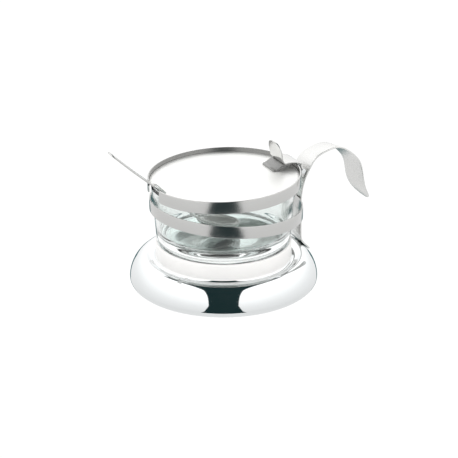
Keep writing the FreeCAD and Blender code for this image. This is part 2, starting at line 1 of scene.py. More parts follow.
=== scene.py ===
"""Sugar bowl: the visual pieces of the glass cup on its spun steel base, with the holder ring,
the bent strip handle, the hinged lid, the lid's strap and the spoon.

Surfaces are worked out in millimetres in the object's own frame (+Z up, +X to the handle,
origin at the centre of the underside) and put into the meshes in metres.
"""
import json
import math

import bpy
import numpy as np
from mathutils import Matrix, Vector


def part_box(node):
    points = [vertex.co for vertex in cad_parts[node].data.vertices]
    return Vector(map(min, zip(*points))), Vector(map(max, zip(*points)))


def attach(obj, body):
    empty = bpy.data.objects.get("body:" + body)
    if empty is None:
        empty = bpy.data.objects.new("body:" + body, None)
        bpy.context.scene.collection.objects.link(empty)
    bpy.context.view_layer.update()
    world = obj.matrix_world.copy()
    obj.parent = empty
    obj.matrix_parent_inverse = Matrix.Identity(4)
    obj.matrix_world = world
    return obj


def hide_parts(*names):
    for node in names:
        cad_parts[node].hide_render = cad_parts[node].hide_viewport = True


bl_info = {
    "name": "Sugar Bowl",
    "version": (1, 0, 0),
    "blender": (4, 5, 0),
    "location": "3D View > Sidebar > Sugar Bowl",
    "description": "Builds a glass sugar bowl with a steel base, lid, handle and spoon",
    "category": "Object",
}

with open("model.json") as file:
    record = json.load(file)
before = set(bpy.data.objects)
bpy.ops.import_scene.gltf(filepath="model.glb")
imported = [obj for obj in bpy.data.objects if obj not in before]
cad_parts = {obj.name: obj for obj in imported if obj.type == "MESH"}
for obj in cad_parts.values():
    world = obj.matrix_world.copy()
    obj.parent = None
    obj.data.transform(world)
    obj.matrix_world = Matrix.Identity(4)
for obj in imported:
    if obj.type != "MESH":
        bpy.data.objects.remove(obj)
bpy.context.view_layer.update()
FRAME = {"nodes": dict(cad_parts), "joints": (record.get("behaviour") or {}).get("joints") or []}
MM = 0.001

# steps of the meshes
TURN_STEPS = 288               # round a turned piece or a hoop
CORNER_STEPS = 6               # round a corner of a section
SOFT_STEPS = 600               # along a line before its bends are softened
SHARP_ANGLE = math.radians(38)

# millimetres
SEAT_DEPTH = 0.8               # glass's foot below the collar's top
SEAT_EDGE = 12.0               # radius where the shell's seat begins
SEAT_ROUND = 0.3
COLLAR_ROUND = 1.2
VALLEY_ROUND = 2.4
BELLY_RISE = 6.5               # glass's belly above the collar's top
PLATE_SHEET = 0.8              # closing plate
LID_FIT = 0.06                 # lid plate to band
FOOT_GAP = 0.1                 # strip's foot to shoulder
FOOT_REACHES = (7.3, 5.8, 4.3)             # strip's foot, out from the strut's face
STRUT_BEND = ((1.1, 2.4), (0.3, 8.0))      # out from the strut's middle, up from the crest
STRUT_LEVELS = (14.0, 3.5)                 # down from the ring's top
# free part of the strip, out and up from the hinge axis
STRIP_BENDS = ((0.9, -5.2), (3.6, 0.2), (8.0, 6.8), (16.9, 11.4), (26.4, 12.7),
               (35.9, 7.6), (42.7, -0.4), (45.3, -10.0), (48.0, -19.4), (56.8, -30.7))
STRAP_RISE = 4.2               # straight part above the hinge axis
STRAP_BEND = 1.6
STRAP_TIP = 3.0                # width left at the tab's end
LEG_FOOT = 2.2                 # flat on the lid
LEG_LAP = 5.0                  # flat under the strap
LEG_PAST_FOLD = 1.5            # from the fold to where the lap begins
LEG_SOFTNESS = 0.9
LEG_TOE_ROUND = 2.4
LEG_TOE_NARROWING = 4.0
PIN_HEAD = 0.8                 # length of a pin's head
SPOON_REST_GAP = 0.15
SPOON_END_ROUND = 5.0
SPOON_END_WIDTH = 2.0          # at the very end of the handle

# shares of a strip's length
SWELL_START = 0.62
SKEW_START = 0.26
SKEW_LENGTH = 0.16
SPREAD_START = 0.08
SPREAD_LENGTH = 0.08
TAB_ROUND = 0.62               # of the tab's height
BAR_EDGE = 0.35                # of a bar's thickness
HOOP_EDGE = 0.3                # of a hoop's sheet

# metres, from the collar's outside and the valley, for the faces painted matt white as painted light for the
# bright collar
COLLAR_WITHIN = 0.0015
COLLAR_BEYOND = 0.0008
COLLAR_ABOVE = 0.0012

# stage
FRONT_CARD_RISES = (-32, 128)  # degrees
BACK_CARD_RISES = (-34, -7)
BACK_CARD_WIDTH = 1.5          # times the front card's
BACK_CARD_STRENGTH = 5.0
GROUND_UP_TO = 0.30            # shares of the way from straight down to straight up
SKY_FROM = 0.80
CAMERA_WHITE = 1.05
CAMERA_PLACE = Vector((-0.3718, -0.8062, 0.4060))
CAMERA_TARGET = Vector((0.00339, -0.00158, 0.03843))


def extent(node, side, axis):
    """A CAD node's lowest (side 0) or highest (side 1) coordinate along an axis, in metres."""
    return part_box(node)[side][axis]


# ---- sizes and colours ---------------------------------------------------------------------

def length(name, description, default):
    return bpy.props.FloatProperty(name=name, description=description, default=default,
                                   min=0.0, unit="LENGTH", precision=4)


def level(name, description, default):
    return bpy.props.FloatProperty(name=name, description=description, default=default,
                                   unit="LENGTH", precision=4)


def share(name, description, default):
    return bpy.props.FloatProperty(name=name, description=description, default=default,
                                   min=0.0, max=1.0, subtype="FACTOR")


def number(name, description, default):
    return bpy.props.FloatProperty(name=name, description=description, default=default)


def slope(name, description, degrees):
    return bpy.props.FloatProperty(name=name, description=description,
                                   default=math.radians(degrees), subtype="ANGLE")


def colour(name, description, default):
    return bpy.props.FloatVectorProperty(name=name, description=description, default=default,
                                         size=3, min=0.0, max=1.0, subtype="COLOR")


class BaseSizes(bpy.types.PropertyGroup):
    bulge_radius: length("Bulge radius", "Widest radius of the spun base", extent("base_shell", 1, 0))
    bulge_height: length("Bulge height", "Height of the widest part", 0.0056)
    rim_radius: length("Rim radius", "Radius where the rolled rim turns under", 0.0587)
    crest_radius: length("Crest radius", "Radius of the shoulder's highest line", 0.0538)
    crest_height: length("Crest height", "Height of the shoulder's highest line", 0.0215)
    fullness: bpy.props.FloatProperty(name="Shoulder fullness", default=1.8, min=1.0, max=4.0,
                                      description="Exponent of the shoulder's curve, 2 is an ellipse")
    valley_height: length("Valley height", "Height of the ring-shaped valley round the collar", 0.0196)
    collar_radius: length("Collar radius", "Outside of the upright collar", 0.0468)
    collar_height: length("Collar height", "Top of the collar", extent("base_shell", 1, 2))
    sheet: length("Sheet", "Thickness of the steel", 0.001)
    stand: length("Rim stand", "Height of the rim above the table", extent("base_shell", 0, 2))
    pad_radius: length("Pad radius", "Outside of the rubber ring", extent("non_slip_ring", 1, 0))
    pad_width: length("Pad width", "Width of the rubber ring", 0.008)
    plate_radius: length("Plate radius", "Outside of the closing plate", extent("closing_plate", 1, 0))
    boss_radius: length("Boss radius", "Flat middle of the closing plate", 0.030)


class GlassSizes(bpy.types.PropertyGroup):
    rim_radius: length("Rim radius", "Outside of the glass at its rim", extent("glass_bowl", 1, 0))
    belly_radius: length("Belly radius", "Outside at the top of the bottom corner", 0.0464)
    foot_radius: length("Foot radius", "Outside of the foot in the collar's seat", 0.0430)
    foot: level("Foot level", "Height of the glass's underside", extent("glass_bowl", 0, 2))
    top: level("Rim level", "Height of the glass's rim", extent("glass_bowl", 1, 2))
    wall: length("Wall", "Thickness of the wall", 0.003)
    floor: length("Floor", "Thickness of the floor", 0.0065)
    inner_corner: length("Inner corner", "Round between floor and wall inside", 0.0055)


class HoopSizes(bpy.types.PropertyGroup):
    height: length("Height", "Height of the hoops", 0.0084)
    sheet: length("Sheet", "Thickness of the hoops", 0.001)
    ring_radius: length("Ring radius", "Outside of the ring that holds the glass",
                        extent("holder_ring", 1, 1))
    ring_top: level("Ring top", "Top edge of the ring at the bowl's middle", 0.0599)
    ring_shift: level("Ring shift", "Ring's centre towards the handle", 0.00205)
    ring_slope: slope("Ring slope", "Rise of the ring's edges towards the handle", -4.0)
    band_radius: length("Band radius", "Outside of the lid's band", extent("lid_band", 1, 1))
    band_top: level("Band top", "Top edge of the band at the bowl's middle", 0.0791)
    band_shift: level("Band shift", "Band's centre towards the handle", 0.0006)
    band_slope: slope("Band slope", "Rise of the band's edges towards the handle", 2.05)


class LidSizes(bpy.types.PropertyGroup):
    sheet: length("Sheet", "Thickness of the lid plate", 0.0008)
    recess: length("Recess", "Plate's edge below the band's top edge", 0.003)
    dome: length("Dome", "Rise of the plate's middle", 0.0012)
    notch_half: length("Notch half width", "Half the width of the spoon's notch", 0.0108)
    notch_depth: length("Notch depth", "Depth of the notch from the band's outside", 0.0070)
    notch_corner: length("Notch corner", "Round of the notch's inner corners", 0.0030)
    notch_side: level("Notch side", "Notch's middle from the handle's line", 0.0024)


class StripSizes(bpy.types.PropertyGroup):
    width: length("Width", "Width of the strut and handle", 0.0190)
    leaf_width: length("Leaf width", "Width of the handle's leaf", 0.0215)
    leaf_length: length("Leaf length", "Length of the tapering end", 0.0240)
    tip_width: length("Tip width", "Width of the leaf's tip", 0.0030)
    thickness: length("Thickness", "Thickness of the strip", 0.0012)
    face: level("Strut face", "Inner face of the strut", 0.0543)
    yaw: number("Yaw", "Lean of the strip's width along X", -0.10)
    roll: number("Roll", "Lean of the strip's width along Z", -0.11)


class StrapSizes(bpy.types.PropertyGroup):
    hinge_x: level("Hinge X", "Hinge axis from the bowl's middle", FRAME["joints"][0]["pos_m"][0])
    hinge_z: level("Hinge Z", "Height of the hinge axis", FRAME["joints"][0]["pos_m"][2])
    width: length("Width", "Width of the strap", 0.0188)
    thickness: length("Thickness", "Thickness of the strap", 0.0009)
    top: level("Top", "Upper face of the strap", 0.0829)
    fold_x: level("Fold X", "Where the tab turns up", 0.0404)
    tab_height: length("Tab height", "Height of the upturned tab", 0.0140)
    tab_lean: length("Tab lean", "Lean of the tab's top away from the hinge", 0.0026)
    leg_reach: length("Leg reach", "How far the leg's foot stands out past the fold", 0.0050)
    knuckle_radius: length("Knuckle radius", "Outside of the strap's knuckle", 0.0019)
    knuckle_half: length("Knuckle half length", "Half the length of the knuckle", 0.0066)
    pin_radius: length("Pin radius", "Radius of the hinge pin", 0.0010)
    pin_head: length("Pin head", "Radius of the pin's heads", 0.0018)


class SpoonSizes(bpy.types.PropertyGroup):
    slope: slope("Slope", "Slope of the spoon's handle", 41.0)
    side: level("Side", "Spoon's distance from the handle's line", 0.0030)
    thickness: length("Thickness", "Thickness of the spoon", 0.0012)
    neck_width: length("Neck width", "Width of the neck", 0.0044)
    end_width: length("End width", "Width of the free end", 0.0090)
    outside: length("Outside length", "From the rim to the free end", 0.0465)
    inside: length("Inside length", "From the rim to the dish", 0.0379)
    shank: length("Shank", "From the free end's wide part to the neck", 0.0080)
    bowl_length: length("Bowl length", "Length of the dish", 0.0320)
    bowl_width: length("Bowl width", "Width of the dish", 0.0240)
    bowl_depth: length("Bowl depth", "Depth of the dish", 0.0060)
    bowl_tilt: slope("Bowl tilt", "How much flatter the dish lies than the handle", 29.0)


class Finishes(bpy.types.PropertyGroup):
    polished: colour("Polished steel", "Colour of the polished steel", (0.79, 0.81, 0.815))
    satin: colour("Satin steel", "Colour of the satin steel", (0.60, 0.60, 0.59))
    # painted light: matt white given to the polished steel collar so that it reads bright
    collar: colour("Collar", "Colour of the matt white collar", (0.93, 0.92, 0.905))
    glass: colour("Glass", "Tint of the glass", (0.955, 0.985, 0.975))
    rubber: colour("Rubber", "Colour of the rubber ring", (0.025, 0.025, 0.027))
    polished_roughness: share("Polished roughness", "Roughness of the polished steel", 0.045)
    satin_roughness: share("Satin roughness", "Roughness of the satin steel", 0.24)
    grain: share("Grain", "Strength of the satin steel's brushed grain", 0.22)


class StageSizes(bpy.types.PropertyGroup):
    sky: number("Sky", "Brightness of the surroundings overhead", 1.45)
    horizon: number("Horizon", "Brightness at eye level", 1.06)
    ground: number("Ground", "Brightness from below", 0.90)
    card_radius: length("Card radius", "Distance of the dark card from the bowl", 0.90)
    card_half: length("Card half width", "Half the width of the dark card", 0.27)
    card_colour: colour("Card colour", "Colour of the dark card", (0.012, 0.030, 0.032))
    lens: bpy.props.FloatProperty(name="Lens", description="Focal length of the camera", default=110.04,
                                  unit="CAMERA")


GROUPS = (BaseSizes, GlassSizes, HoopSizes, LidSizes, StripSizes, StrapSizes, SpoonSizes,
          Finishes, StageSizes)


def sizes(name):
    return getattr(bpy.context.scene, "sugar_bowl_" + name)


# ---- curves and surfaces -------------------------------------------------------------------

def distances(points):
    """Running length along a line of points, from 0."""
    return np.concatenate([[0.0], np.cumsum(np.linalg.norm(np.diff(points, axis=0), axis=1))])


def smooth_curve(points, count):
    """Cubic spline through the points with free ends, read at equal steps of its own length.

    Between two points the curve is (1-s) A + s B plus the two cubic terms that keep its slope
    and its bend continuous, with the bend solved from one row of equations.
    """
    points = np.asarray(points, float)
    knots = distances(points)
    gaps = np.diff(knots)
    inner = len(points) - 2
    matrix = np.eye(len(points))
    right = np.zeros_like(points)
    rows = np.arange(1, inner + 1)
    matrix[rows, rows - 1] = gaps[:-1] / 6
    matrix[rows, rows] = (gaps[:-1] + gaps[1:]) / 3
    matrix[rows, rows + 1] = gaps[1:] / 6
    slopes = np.diff(points, axis=0) / gaps[:, None]
    right[1:-1] = slopes[1:] - slopes[:-1]
    bends = np.linalg.solve(matrix, right)
    fine = np.linspace(0, knots[-1], 40 * len(points))
    span = np.clip(np.searchsorted(knots, fine, side="right") - 1, 0, len(gaps) - 1)
    gap = gaps[span][:, None]
    after = ((fine - knots[span])[:, None]) / gap
    before = 1 - after
    dense = (before * points[span] + after * points[span + 1]
             + ((before ** 3 - before) * bends[span] + (after ** 3 - after) * bends[span + 1]) * gap ** 2 / 6)
    return even_steps(dense, count)


def even_steps(points, count):
    """The same line read at equal steps of its length."""
    run = distances(points)
    where = np.linspace(0, run[-1], count)
    return np.stack([np.interp(where, run, points[:, axis]) for axis in range(points.shape[1])], 1)


def unit(vectors):
    """Each row's direction, with length 1."""
    return vectors / np.linalg.norm(vectors, axis=1, keepdims=True)


def eased(share):
    """3 s^2 - 2 s^3, which starts and ends level."""
    return share * share * (3 - 2 * share)


def rounded_line(points, radius, count):
    """Straight runs with soft bends: each point is the mean of the line within a radius of it."""
    points = np.asarray(points, float)
    dense = even_steps(points, SOFT_STEPS)
    window = max(int(SOFT_STEPS * radius / distances(points)[-1]), 1)
    padded = np.concatenate([dense[:1] + (dense[:1] - dense[1:window + 1][::-1]), dense,
                             dense[-1:] + (dense[-1:] - dense[-window - 1:-1][::-1])])
    kernel = np.ones(2 * window + 1) / (2 * window + 1)
    smooth = np.stack([np.convolve(padded[:, axis], kernel, "valid") for axis in range(points.shape[1])], 1)
    return even_steps(smooth, count)


def arc(centre, radius, start, end, count):
    """Points on a circle in a profile's plane from one angle to another, in degrees."""
    angle = np.radians(np.linspace(start, end, count))
    return np.stack([centre[0] + radius * np.cos(angle), centre[1] + radius * np.sin(angle)], 1)


def surface(name, grid, loop=False, grain_across=False):
    """A closed mesh over a grid of points, rows by columns, with the columns wrapped round.

    The rows either wrap round too, or the first and last are closed by a flat face. The UV map
    is the running length over the surface in metres, with U along the finish's grain.
    """
    rows, columns = grid.shape[:2]
    row = np.arange(rows if loop else rows - 1)
    row, column = (a.ravel() for a in np.meshgrid(row, np.arange(columns), indexing="ij"))
    corner_row = np.stack([row, row + 1, row + 1, row], 1)
    corner_column = np.stack([column, column, column + 1, column + 1], 1)
    quads = (corner_row % rows) * columns + corner_column % columns
    closed_rows = np.concatenate([grid, grid[:1]])
    closed_columns = np.concatenate([grid, grid[:, :1]], axis=1)
    along = np.linalg.norm(np.diff(closed_rows, axis=0), axis=2).mean(1)
    across = np.linalg.norm(np.diff(closed_columns, axis=1), axis=2).max(0)
    along = np.concatenate([[0.0], np.cumsum(along)]) * MM
    across = np.concatenate([[0.0], np.cumsum(across)]) * MM
    uv = np.stack([along[corner_row], across[corner_column]], 2).reshape(-1, 2)
    faces = quads.tolist()
    if not loop:
        faces += [list(range(columns)), list(range(rows * columns - 1, (rows - 1) * columns - 1, -1))]
        ends = grid[[0, -1]].copy()
        ends[1] = ends[1][::-1]
        flat = ends - ends.mean(1, keepdims=True)
        uv = np.concatenate([uv, (flat @ end_axes(flat)).reshape(-1, 2) * MM])
    points = grid.reshape(-1, 3) * MM
    mesh = bpy.data.meshes.new(name)
    mesh.from_pydata(points.tolist(), [], faces)
    if signed_volume(mesh) < 0:
        mesh.flip_normals()
        order = np.concatenate([np.array(face)[::-1] for face in split_corners(mesh)])
        uv = uv[order]
    layer = mesh.uv_layers.new(name="UVMap")
    layer.data.foreach_set("uv", (uv[:, ::-1] if grain_across else uv).astype(np.float32).ravel())
    mesh.shade_smooth()
    mesh.set_sharp_from_angle(angle=SHARP_ANGLE)
    made = bpy.data.objects.new(name, mesh)
    bpy.context.scene.collection.objects.link(made)
    return made


def end_axes(flat):
    """Two axes in the plane of each end face, from its widest spread."""
    return np.linalg.svd(flat, full_matrices=False)[2][:, :2].transpose(0, 2, 1)


def split_corners(mesh):
    """Each face's corner numbers, with the first corner kept first when the face is turned over."""
    starts = np.zeros(len(mesh.polygons), np.int32)
    totals = np.zeros(len(mesh.polygons), np.int32)
    mesh.polygons.foreach_get("loop_start", starts)
    mesh.polygons.foreach_get("loop_total", totals)
    return [np.concatenate([np.arange(start + 1, start + total), [start]])
            for start, total in zip(starts, totals)]


def signed_volume(mesh):
    """Three times the volume that the faces enclose: the sum of centre . area normal."""
    count = len(mesh.polygons)
    centres, normals, areas = np.zeros(count * 3), np.zeros(count * 3), np.zeros(count)
    mesh.polygons.foreach_get("center", centres)
    mesh.polygons.foreach_get("normal", normals)
    mesh.polygons.foreach_get("area", areas)
    return float((centres.reshape(-1, 3) * normals.reshape(-1, 3)).sum(1) @ areas)


def face_centres(mesh):
    centres = np.zeros(len(mesh.polygons) * 3)
    mesh.polygons.foreach_get("center", centres)
    return centres.reshape(-1, 3)


def turned(name, profile, loop=True):
    """A profile of (radius, height) carried round the Z axis: x = r cos a, y = r sin a, z = h."""
    angle = np.linspace(0, 2 * np.pi, TURN_STEPS, endpoint=False)
    radius, height = profile[:, 0][:, None], profile[:, 1][:, None]
    grid = np.stack([radius * np.cos(angle), radius * np.sin(angle), height + 0 * angle], 2)
    return surface(name, grid, loop=loop, grain_across=True)


def rounded_rectangle(width, height, radius):
    """Outline of rectangles with round corners: corner centre plus r (cos a, sin a).

    width and height may be arrays, one value a row, which gives one outline a row.
    """
    angle = np.linspace(0, np.pi / 2, CORNER_STEPS)
    turns = np.concatenate([angle + quarter * np.pi / 2 for quarter in range(4)])
    sign_x = np.sign(np.repeat([1, -1, -1, 1], CORNER_STEPS))
    sign_y = np.sign(np.repeat([1, 1, -1, -1], CORNER_STEPS))
    width, height = np.atleast_1d(width)[:, None], np.atleast_1d(height)[:, None]
    radius = np.minimum(radius, np.minimum(width, height) * 0.49)
    return np.stack([sign_x * (width / 2 - radius) + radius * np.cos(turns),
                     sign_y * (height / 2 - radius) + radius * np.sin(turns)], 2)


def bar(name, path, width, thickness, side):
    """A flat bar carried along a path.

    At each step stands the rounded rectangle P + a s + b (t x s), with s the unit side vector,
    t the path's direction, a over the width and b over the thickness.
    """
    run = unit(np.gradient(path, axis=0))
    side = unit(np.broadcast_to(side, path.shape))
    out = unit(np.cross(run, side))
    width = np.broadcast_to(width, (len(path),))
    outline = rounded_rectangle(width, np.full(len(path), thickness), BAR_EDGE * thickness)
    grid = path[:, None] + outline[..., :1] * side[:, None] + outline[..., 1:] * out[:, None]
    return surface(name, grid)


def in_plane(points):
    """Points (x, z) in the plane of symmetry as (x, 0, z)."""
    points = np.asarray(points, float)
    return np.stack([points[:, 0], 0 * points[:, 0], points[:, 1]], 1)


def hoop(name, radius, sheet, top, height, slope_angle, shift, gap=None):
    """An upright band: the rounded rectangle of its sheet carried round the Z axis.

    Its levels rise by x tan(slope). With a gap between two values of y, each circle of the
    section stops at the angles pi - asin(high / r) and -pi - asin(low / r), so the ends are
    flat and square.
    """
    outline = rounded_rectangle(sheet, height, HOOP_EDGE * sheet)[0]
    r = radius - sheet / 2 + outline[:, 0]
    if gap is None:
        angle = np.linspace(0, 2 * np.pi, TURN_STEPS, endpoint=False)[:, None] + 0 * r
    else:
        first, last = -np.pi - np.arcsin(gap[0] / r), np.pi - np.arcsin(gap[1] / r)
        angle = first + (last - first) * np.linspace(0, 1, TURN_STEPS + 1)[:, None]
    x = shift + r * np.cos(angle)
    z = top - height / 2 + outline[:, 1] + math.tan(slope_angle) * x
    return surface(name, np.stack([x, r * np.sin(angle), z + 0 * angle], 2), loop=gap is None)


def joined(name, pieces):
    """Several finished pieces as one object."""
    with bpy.context.temp_override(active_object=pieces[0], selected_editable_objects=pieces,
                                   selected_objects=pieces):
        bpy.ops.object.join()
    pieces[0].name = name
    return pieces[0]


def finished(made, material, slot_name, body, *nodes):
    """Gives a piece its material, its body and the CAD nodes that it stands for; slot_name is not used."""
    made.data.materials.clear()
    made.data.materials.append(material)
    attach(made, body)
    if nodes:
        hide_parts(*nodes)


# ---- materials -----------------------------------------------------------------------------

def node_group(name, inputs, outputs):
    group = bpy.data.node_groups.new(name, "ShaderNodeTree")
    for label, kind, default in inputs:
        socket = group.interface.new_socket(label, in_out="INPUT", socket_type=kind)
        if default is not None:
            socket.default_value = default
    for label, kind in outputs:
        group.interface.new_socket(label, in_out="OUTPUT", socket_type=kind)
    return group


def streaks_group():
    """Fine grain along U: noise stretched many times longer than it is wide."""
    name = "Brushed streaks"
    if name in bpy.data.node_groups:
        return bpy.data.node_groups[name]
    group = node_group(name, [("Vector", "NodeSocketVector", None), ("Along", "NodeSocketFloat", 60.0),
                              ("Across", "NodeSocketFloat", 5000.0), ("Depth", "NodeSocketFloat", 0.05)],
                       [("Mask", "NodeSocketFloat"), ("Normal", "NodeSocketVector")])
    nodes, links = group.nodes, group.links
    start, end = nodes.new("NodeGroupInput"), nodes.new("NodeGroupOutput")
    scale = nodes.new("ShaderNodeCombineXYZ")
    stretch = nodes.new("ShaderNodeVectorMath")
    stretch.operation = "MULTIPLY"
    noise = nodes.new("ShaderNodeTexNoise")
    noise.inputs["Scale"].default_value = 1.0
    noise.inputs["Detail"].default_value = 3.0
    bump = nodes.new("ShaderNodeBump")
    bump.inputs["Distance"].default_value = 0.0001
    links.new(start.outputs["Along"], scale.inputs["X"])
    links.new(start.outputs["Across"], scale.inputs["Y"])
    links.new(start.outputs["Across"], scale.inputs["Z"])
    links.new(start.outputs["Vector"], stretch.inputs[0])
    links.new(scale.outputs[0], stretch.inputs[1])
    links.new(stretch.outputs[0], noise.inputs["Vector"])
    links.new(noise.outputs["Fac"], bump.inputs["Height"])
    links.new(start.outputs["Depth"], bump.inputs["Strength"])
    links.new(noise.outputs["Fac"], end.inputs["Mask"])
    links.new(bump.outputs[0], end.inputs["Normal"])
    return group


def wear_group():
    """Handling marks: soft smears of layered noise, from 0 to 1."""
    name = "Handling marks"
    if name in bpy.data.node_groups:
        return bpy.data.node_groups[name]
    group = node_group(name, [("Vector", "NodeSocketVector", None), ("Size", "NodeSocketFloat", 60.0)],
                       [("Mask", "NodeSocketFloat")])
    nodes, links = group.nodes, group.links
    start, end = nodes.new("NodeGroupInput"), nodes.new("NodeGroupOutput")
    broad = nodes.new("ShaderNodeTexNoise")
    broad.inputs["Detail"].default_value = 4.0
    broad.inputs["Roughness"].default_value = 0.6
    ramp = nodes.new("ShaderNodeMapRange")
    ramp.inputs["From Min"].default_value = 0.42
    ramp.inputs["From Max"].default_value = 0.72
    links.new(start.outputs["Vector"], broad.inputs["Vector"])
    links.new(start.outputs["Size"], broad.inputs["Scale"])
    links.new(broad.outputs["Fac"], ramp.inputs["Value"])
    links.new(ramp.outputs[0], end.inputs["Mask"])
    return group


def new_material(name):
    """A material with its Principled shader, its object coordinates and its UV map at hand."""
    made = bpy.data.materials.new(name)
    made.use_nodes = True
    shader = made.node_tree.nodes["Principled BSDF"]
    place = made.node_tree.nodes.new("ShaderNodeTexCoord")
    return made, shader, place


def placed_group(material, group, vector, **values):
    """One use of a node group in a material, with its own values."""
    node = material.node_tree.nodes.new("ShaderNodeGroup")
    node.node_tree = group
    material.node_tree.links.new(vector, node.inputs["Vector"])
    for label, value in values.items():
        node.inputs[label].default_value = value
    return node


def ranged(material, value, low, high):
    """A 0 to 1 value spread between two others."""
    node = material.node_tree.nodes.new("ShaderNodeMapRange")
    node.inputs["To Min"].default_value = low
    node.inputs["To Max"].default_value = high
    material.node_tree.links.new(value, node.inputs["Value"])
    return node.outputs[0]


def tinted(material, mask, low, high):
    """A colour between two by a mask."""
    node = material.node_tree.nodes.new("ShaderNodeMix")
    node.data_type = "RGBA"
    node.inputs["A"].default_value = (*low, 1.0)
    node.inputs["B"].default_value = (*high, 1.0)
    material.node_tree.links.new(mask, node.inputs["Factor"])
    return node.outputs["Result"]


def scaled(values, factor):
    return tuple(factor * value for value in values)


def polished_steel():
    """Polished steel: near mirror, with faint turning lines and handling marks."""
    name = "Polished steel"
    if name in bpy.data.materials:
        return bpy.data.materials[name]
    finish = sizes("finishes")
    made, shader, place = new_material(name)
    links = made.node_tree.links
    marks = placed_group(made, wear_group(), place.outputs["Object"], Size=45.0)
    lines = placed_group(made, streaks_group(), place.outputs["UV"], Along=4.0, Across=900.0, Depth=0.02)
    shader.inputs["Metallic"].default_value = 1.0
    links.new(tinted(made, marks.outputs["Mask"], finish.polished, scaled(finish.polished, 0.985)),
              shader.inputs["Base Color"])
    rough = finish.polished_roughness
    links.new(ranged(made, marks.outputs["Mask"], rough, rough + 0.03), shader.inputs["Roughness"])
    links.new(lines.outputs["Normal"], shader.inputs["Normal"])
    return made


def satin_steel(name="Satin steel", coordinates="UV", roughness=None, lightness=1.0):
    """Satin steel: brushed along the strip, with a grain in colour, roughness and relief."""
    if name in bpy.data.materials:
        return bpy.data.materials[name]
    finish = sizes("finishes")
    rough = finish.satin_roughness if roughness is None else roughness
    made, shader, place = new_material(name)
    links = made.node_tree.links
    grain = placed_group(made, streaks_group(), place.outputs[coordinates], Along=50.0, Across=4200.0,
                         Depth=finish.grain)
    marks = placed_group(made, wear_group(), place.outputs["Object"], Size=70.0)
    shader.inputs["Metallic"].default_value = 1.0
    base = scaled(finish.satin, lightness)
    links.new(tinted(made, grain.outputs["Mask"], scaled(base, 0.93), scaled(base, 1.06)),
              shader.inputs["Base Color"])
    links.new(ranged(made, marks.outputs["Mask"], rough, rough + 0.05), shader.inputs["Roughness"])
    links.new(grain.outputs["Normal"], shader.inputs["Normal"])
    return made


def collar_painted_light():
    """Matt white put on the steel collar as painted light, so it reads bright; a little uneven in gloss."""
    name = "White collar"
    if name in bpy.data.materials:
        return bpy.data.materials[name]
    finish = sizes("finishes")
    made, shader, place = new_material(name)
    marks = placed_group(made, wear_group(), place.outputs["Object"], Size=80.0)
    made.node_tree.links.new(tinted(made, marks.outputs["Mask"], finish.collar, scaled(finish.collar, 0.97)),
                             shader.inputs["Base Color"])
    made.node_tree.links.new(ranged(made, marks.outputs["Mask"], 0.30, 0.42), shader.inputs["Roughness"])
    return made


def clear_glass():
    """Pressed glass with a faint tint and a very slight wave."""
    name = "Clear glass"
    if name in bpy.data.materials:
        return bpy.data.materials[name]
    finish = sizes("finishes")
    made, shader, place = new_material(name)
    nodes, links = made.node_tree.nodes, made.node_tree.links
    shader.inputs["Base Color"].default_value = (*finish.glass, 1.0)
    shader.inputs["Roughness"].default_value = 0.0
    shader.inputs["IOR"].default_value = 1.5
    shader.inputs["Transmission Weight"].default_value = 1.0
    wave = nodes.new("ShaderNodeTexNoise")
    wave.inputs["Scale"].default_value = 55.0
    wave.inputs["Detail"].default_value = 1.0
    bump = nodes.new("ShaderNodeBump")
    bump.inputs["Strength"].default_value = 0.06
    bump.inputs["Distance"].default_value = 0.001
    links.new(place.outputs["Object"], wave.inputs["Vector"])
    links.new(wave.outputs["Fac"], bump.inputs["Height"])
    links.new(bump.outputs[0], shader.inputs["Normal"])
    return made


def black_rubber():
    """Matt rubber with a fine pebble and a little dust."""
    name = "Black rubber"
    if name in bpy.data.materials:
        return bpy.data.materials[name]
    finish = sizes("finishes")
    made, shader, place = new_material(name)
    nodes, links = made.node_tree.nodes, made.node_tree.links
    dust = placed_group(made, wear_group(), place.outputs["Object"], Size=120.0)
    links.new(tinted(made, dust.outputs["Mask"], finish.rubber, scaled(finish.rubber, 2.2)),
              shader.inputs["Base Color"])
    links.new(ranged(made, dust.outputs["Mask"], 0.62, 0.82), shader.inputs["Roughness"])
    pebble = nodes.new("ShaderNodeTexNoise")
    pebble.inputs["Scale"].default_value = 2500.0
    bump = nodes.new("ShaderNodeBump")
    bump.inputs["Strength"].default_value = 0.3
    bump.inputs["Distance"].default_value = 0.0001
    links.new(place.outputs["Object"], pebble.inputs["Vector"])
    links.new(pebble.outputs["Fac"], bump.inputs["Height"])
    links.new(bump.outputs[0], shader.inputs["Normal"])
    return made


# ---- shapes of this bowl's pieces ----------------------------------------------------------

def shoulder_height(radius, base):
    """Height of the shoulder at a radius: a superellipse from the crest down to the bulge."""
    crest, bulge = base.crest_radius / MM, base.bulge_radius / MM
    low, high = base.bulge_height / MM, base.crest_height / MM
    across = (radius - crest) / (bulge - crest)
    return low + (high - low) * (1 - across ** base.fullness) ** (1 / base.fullness)


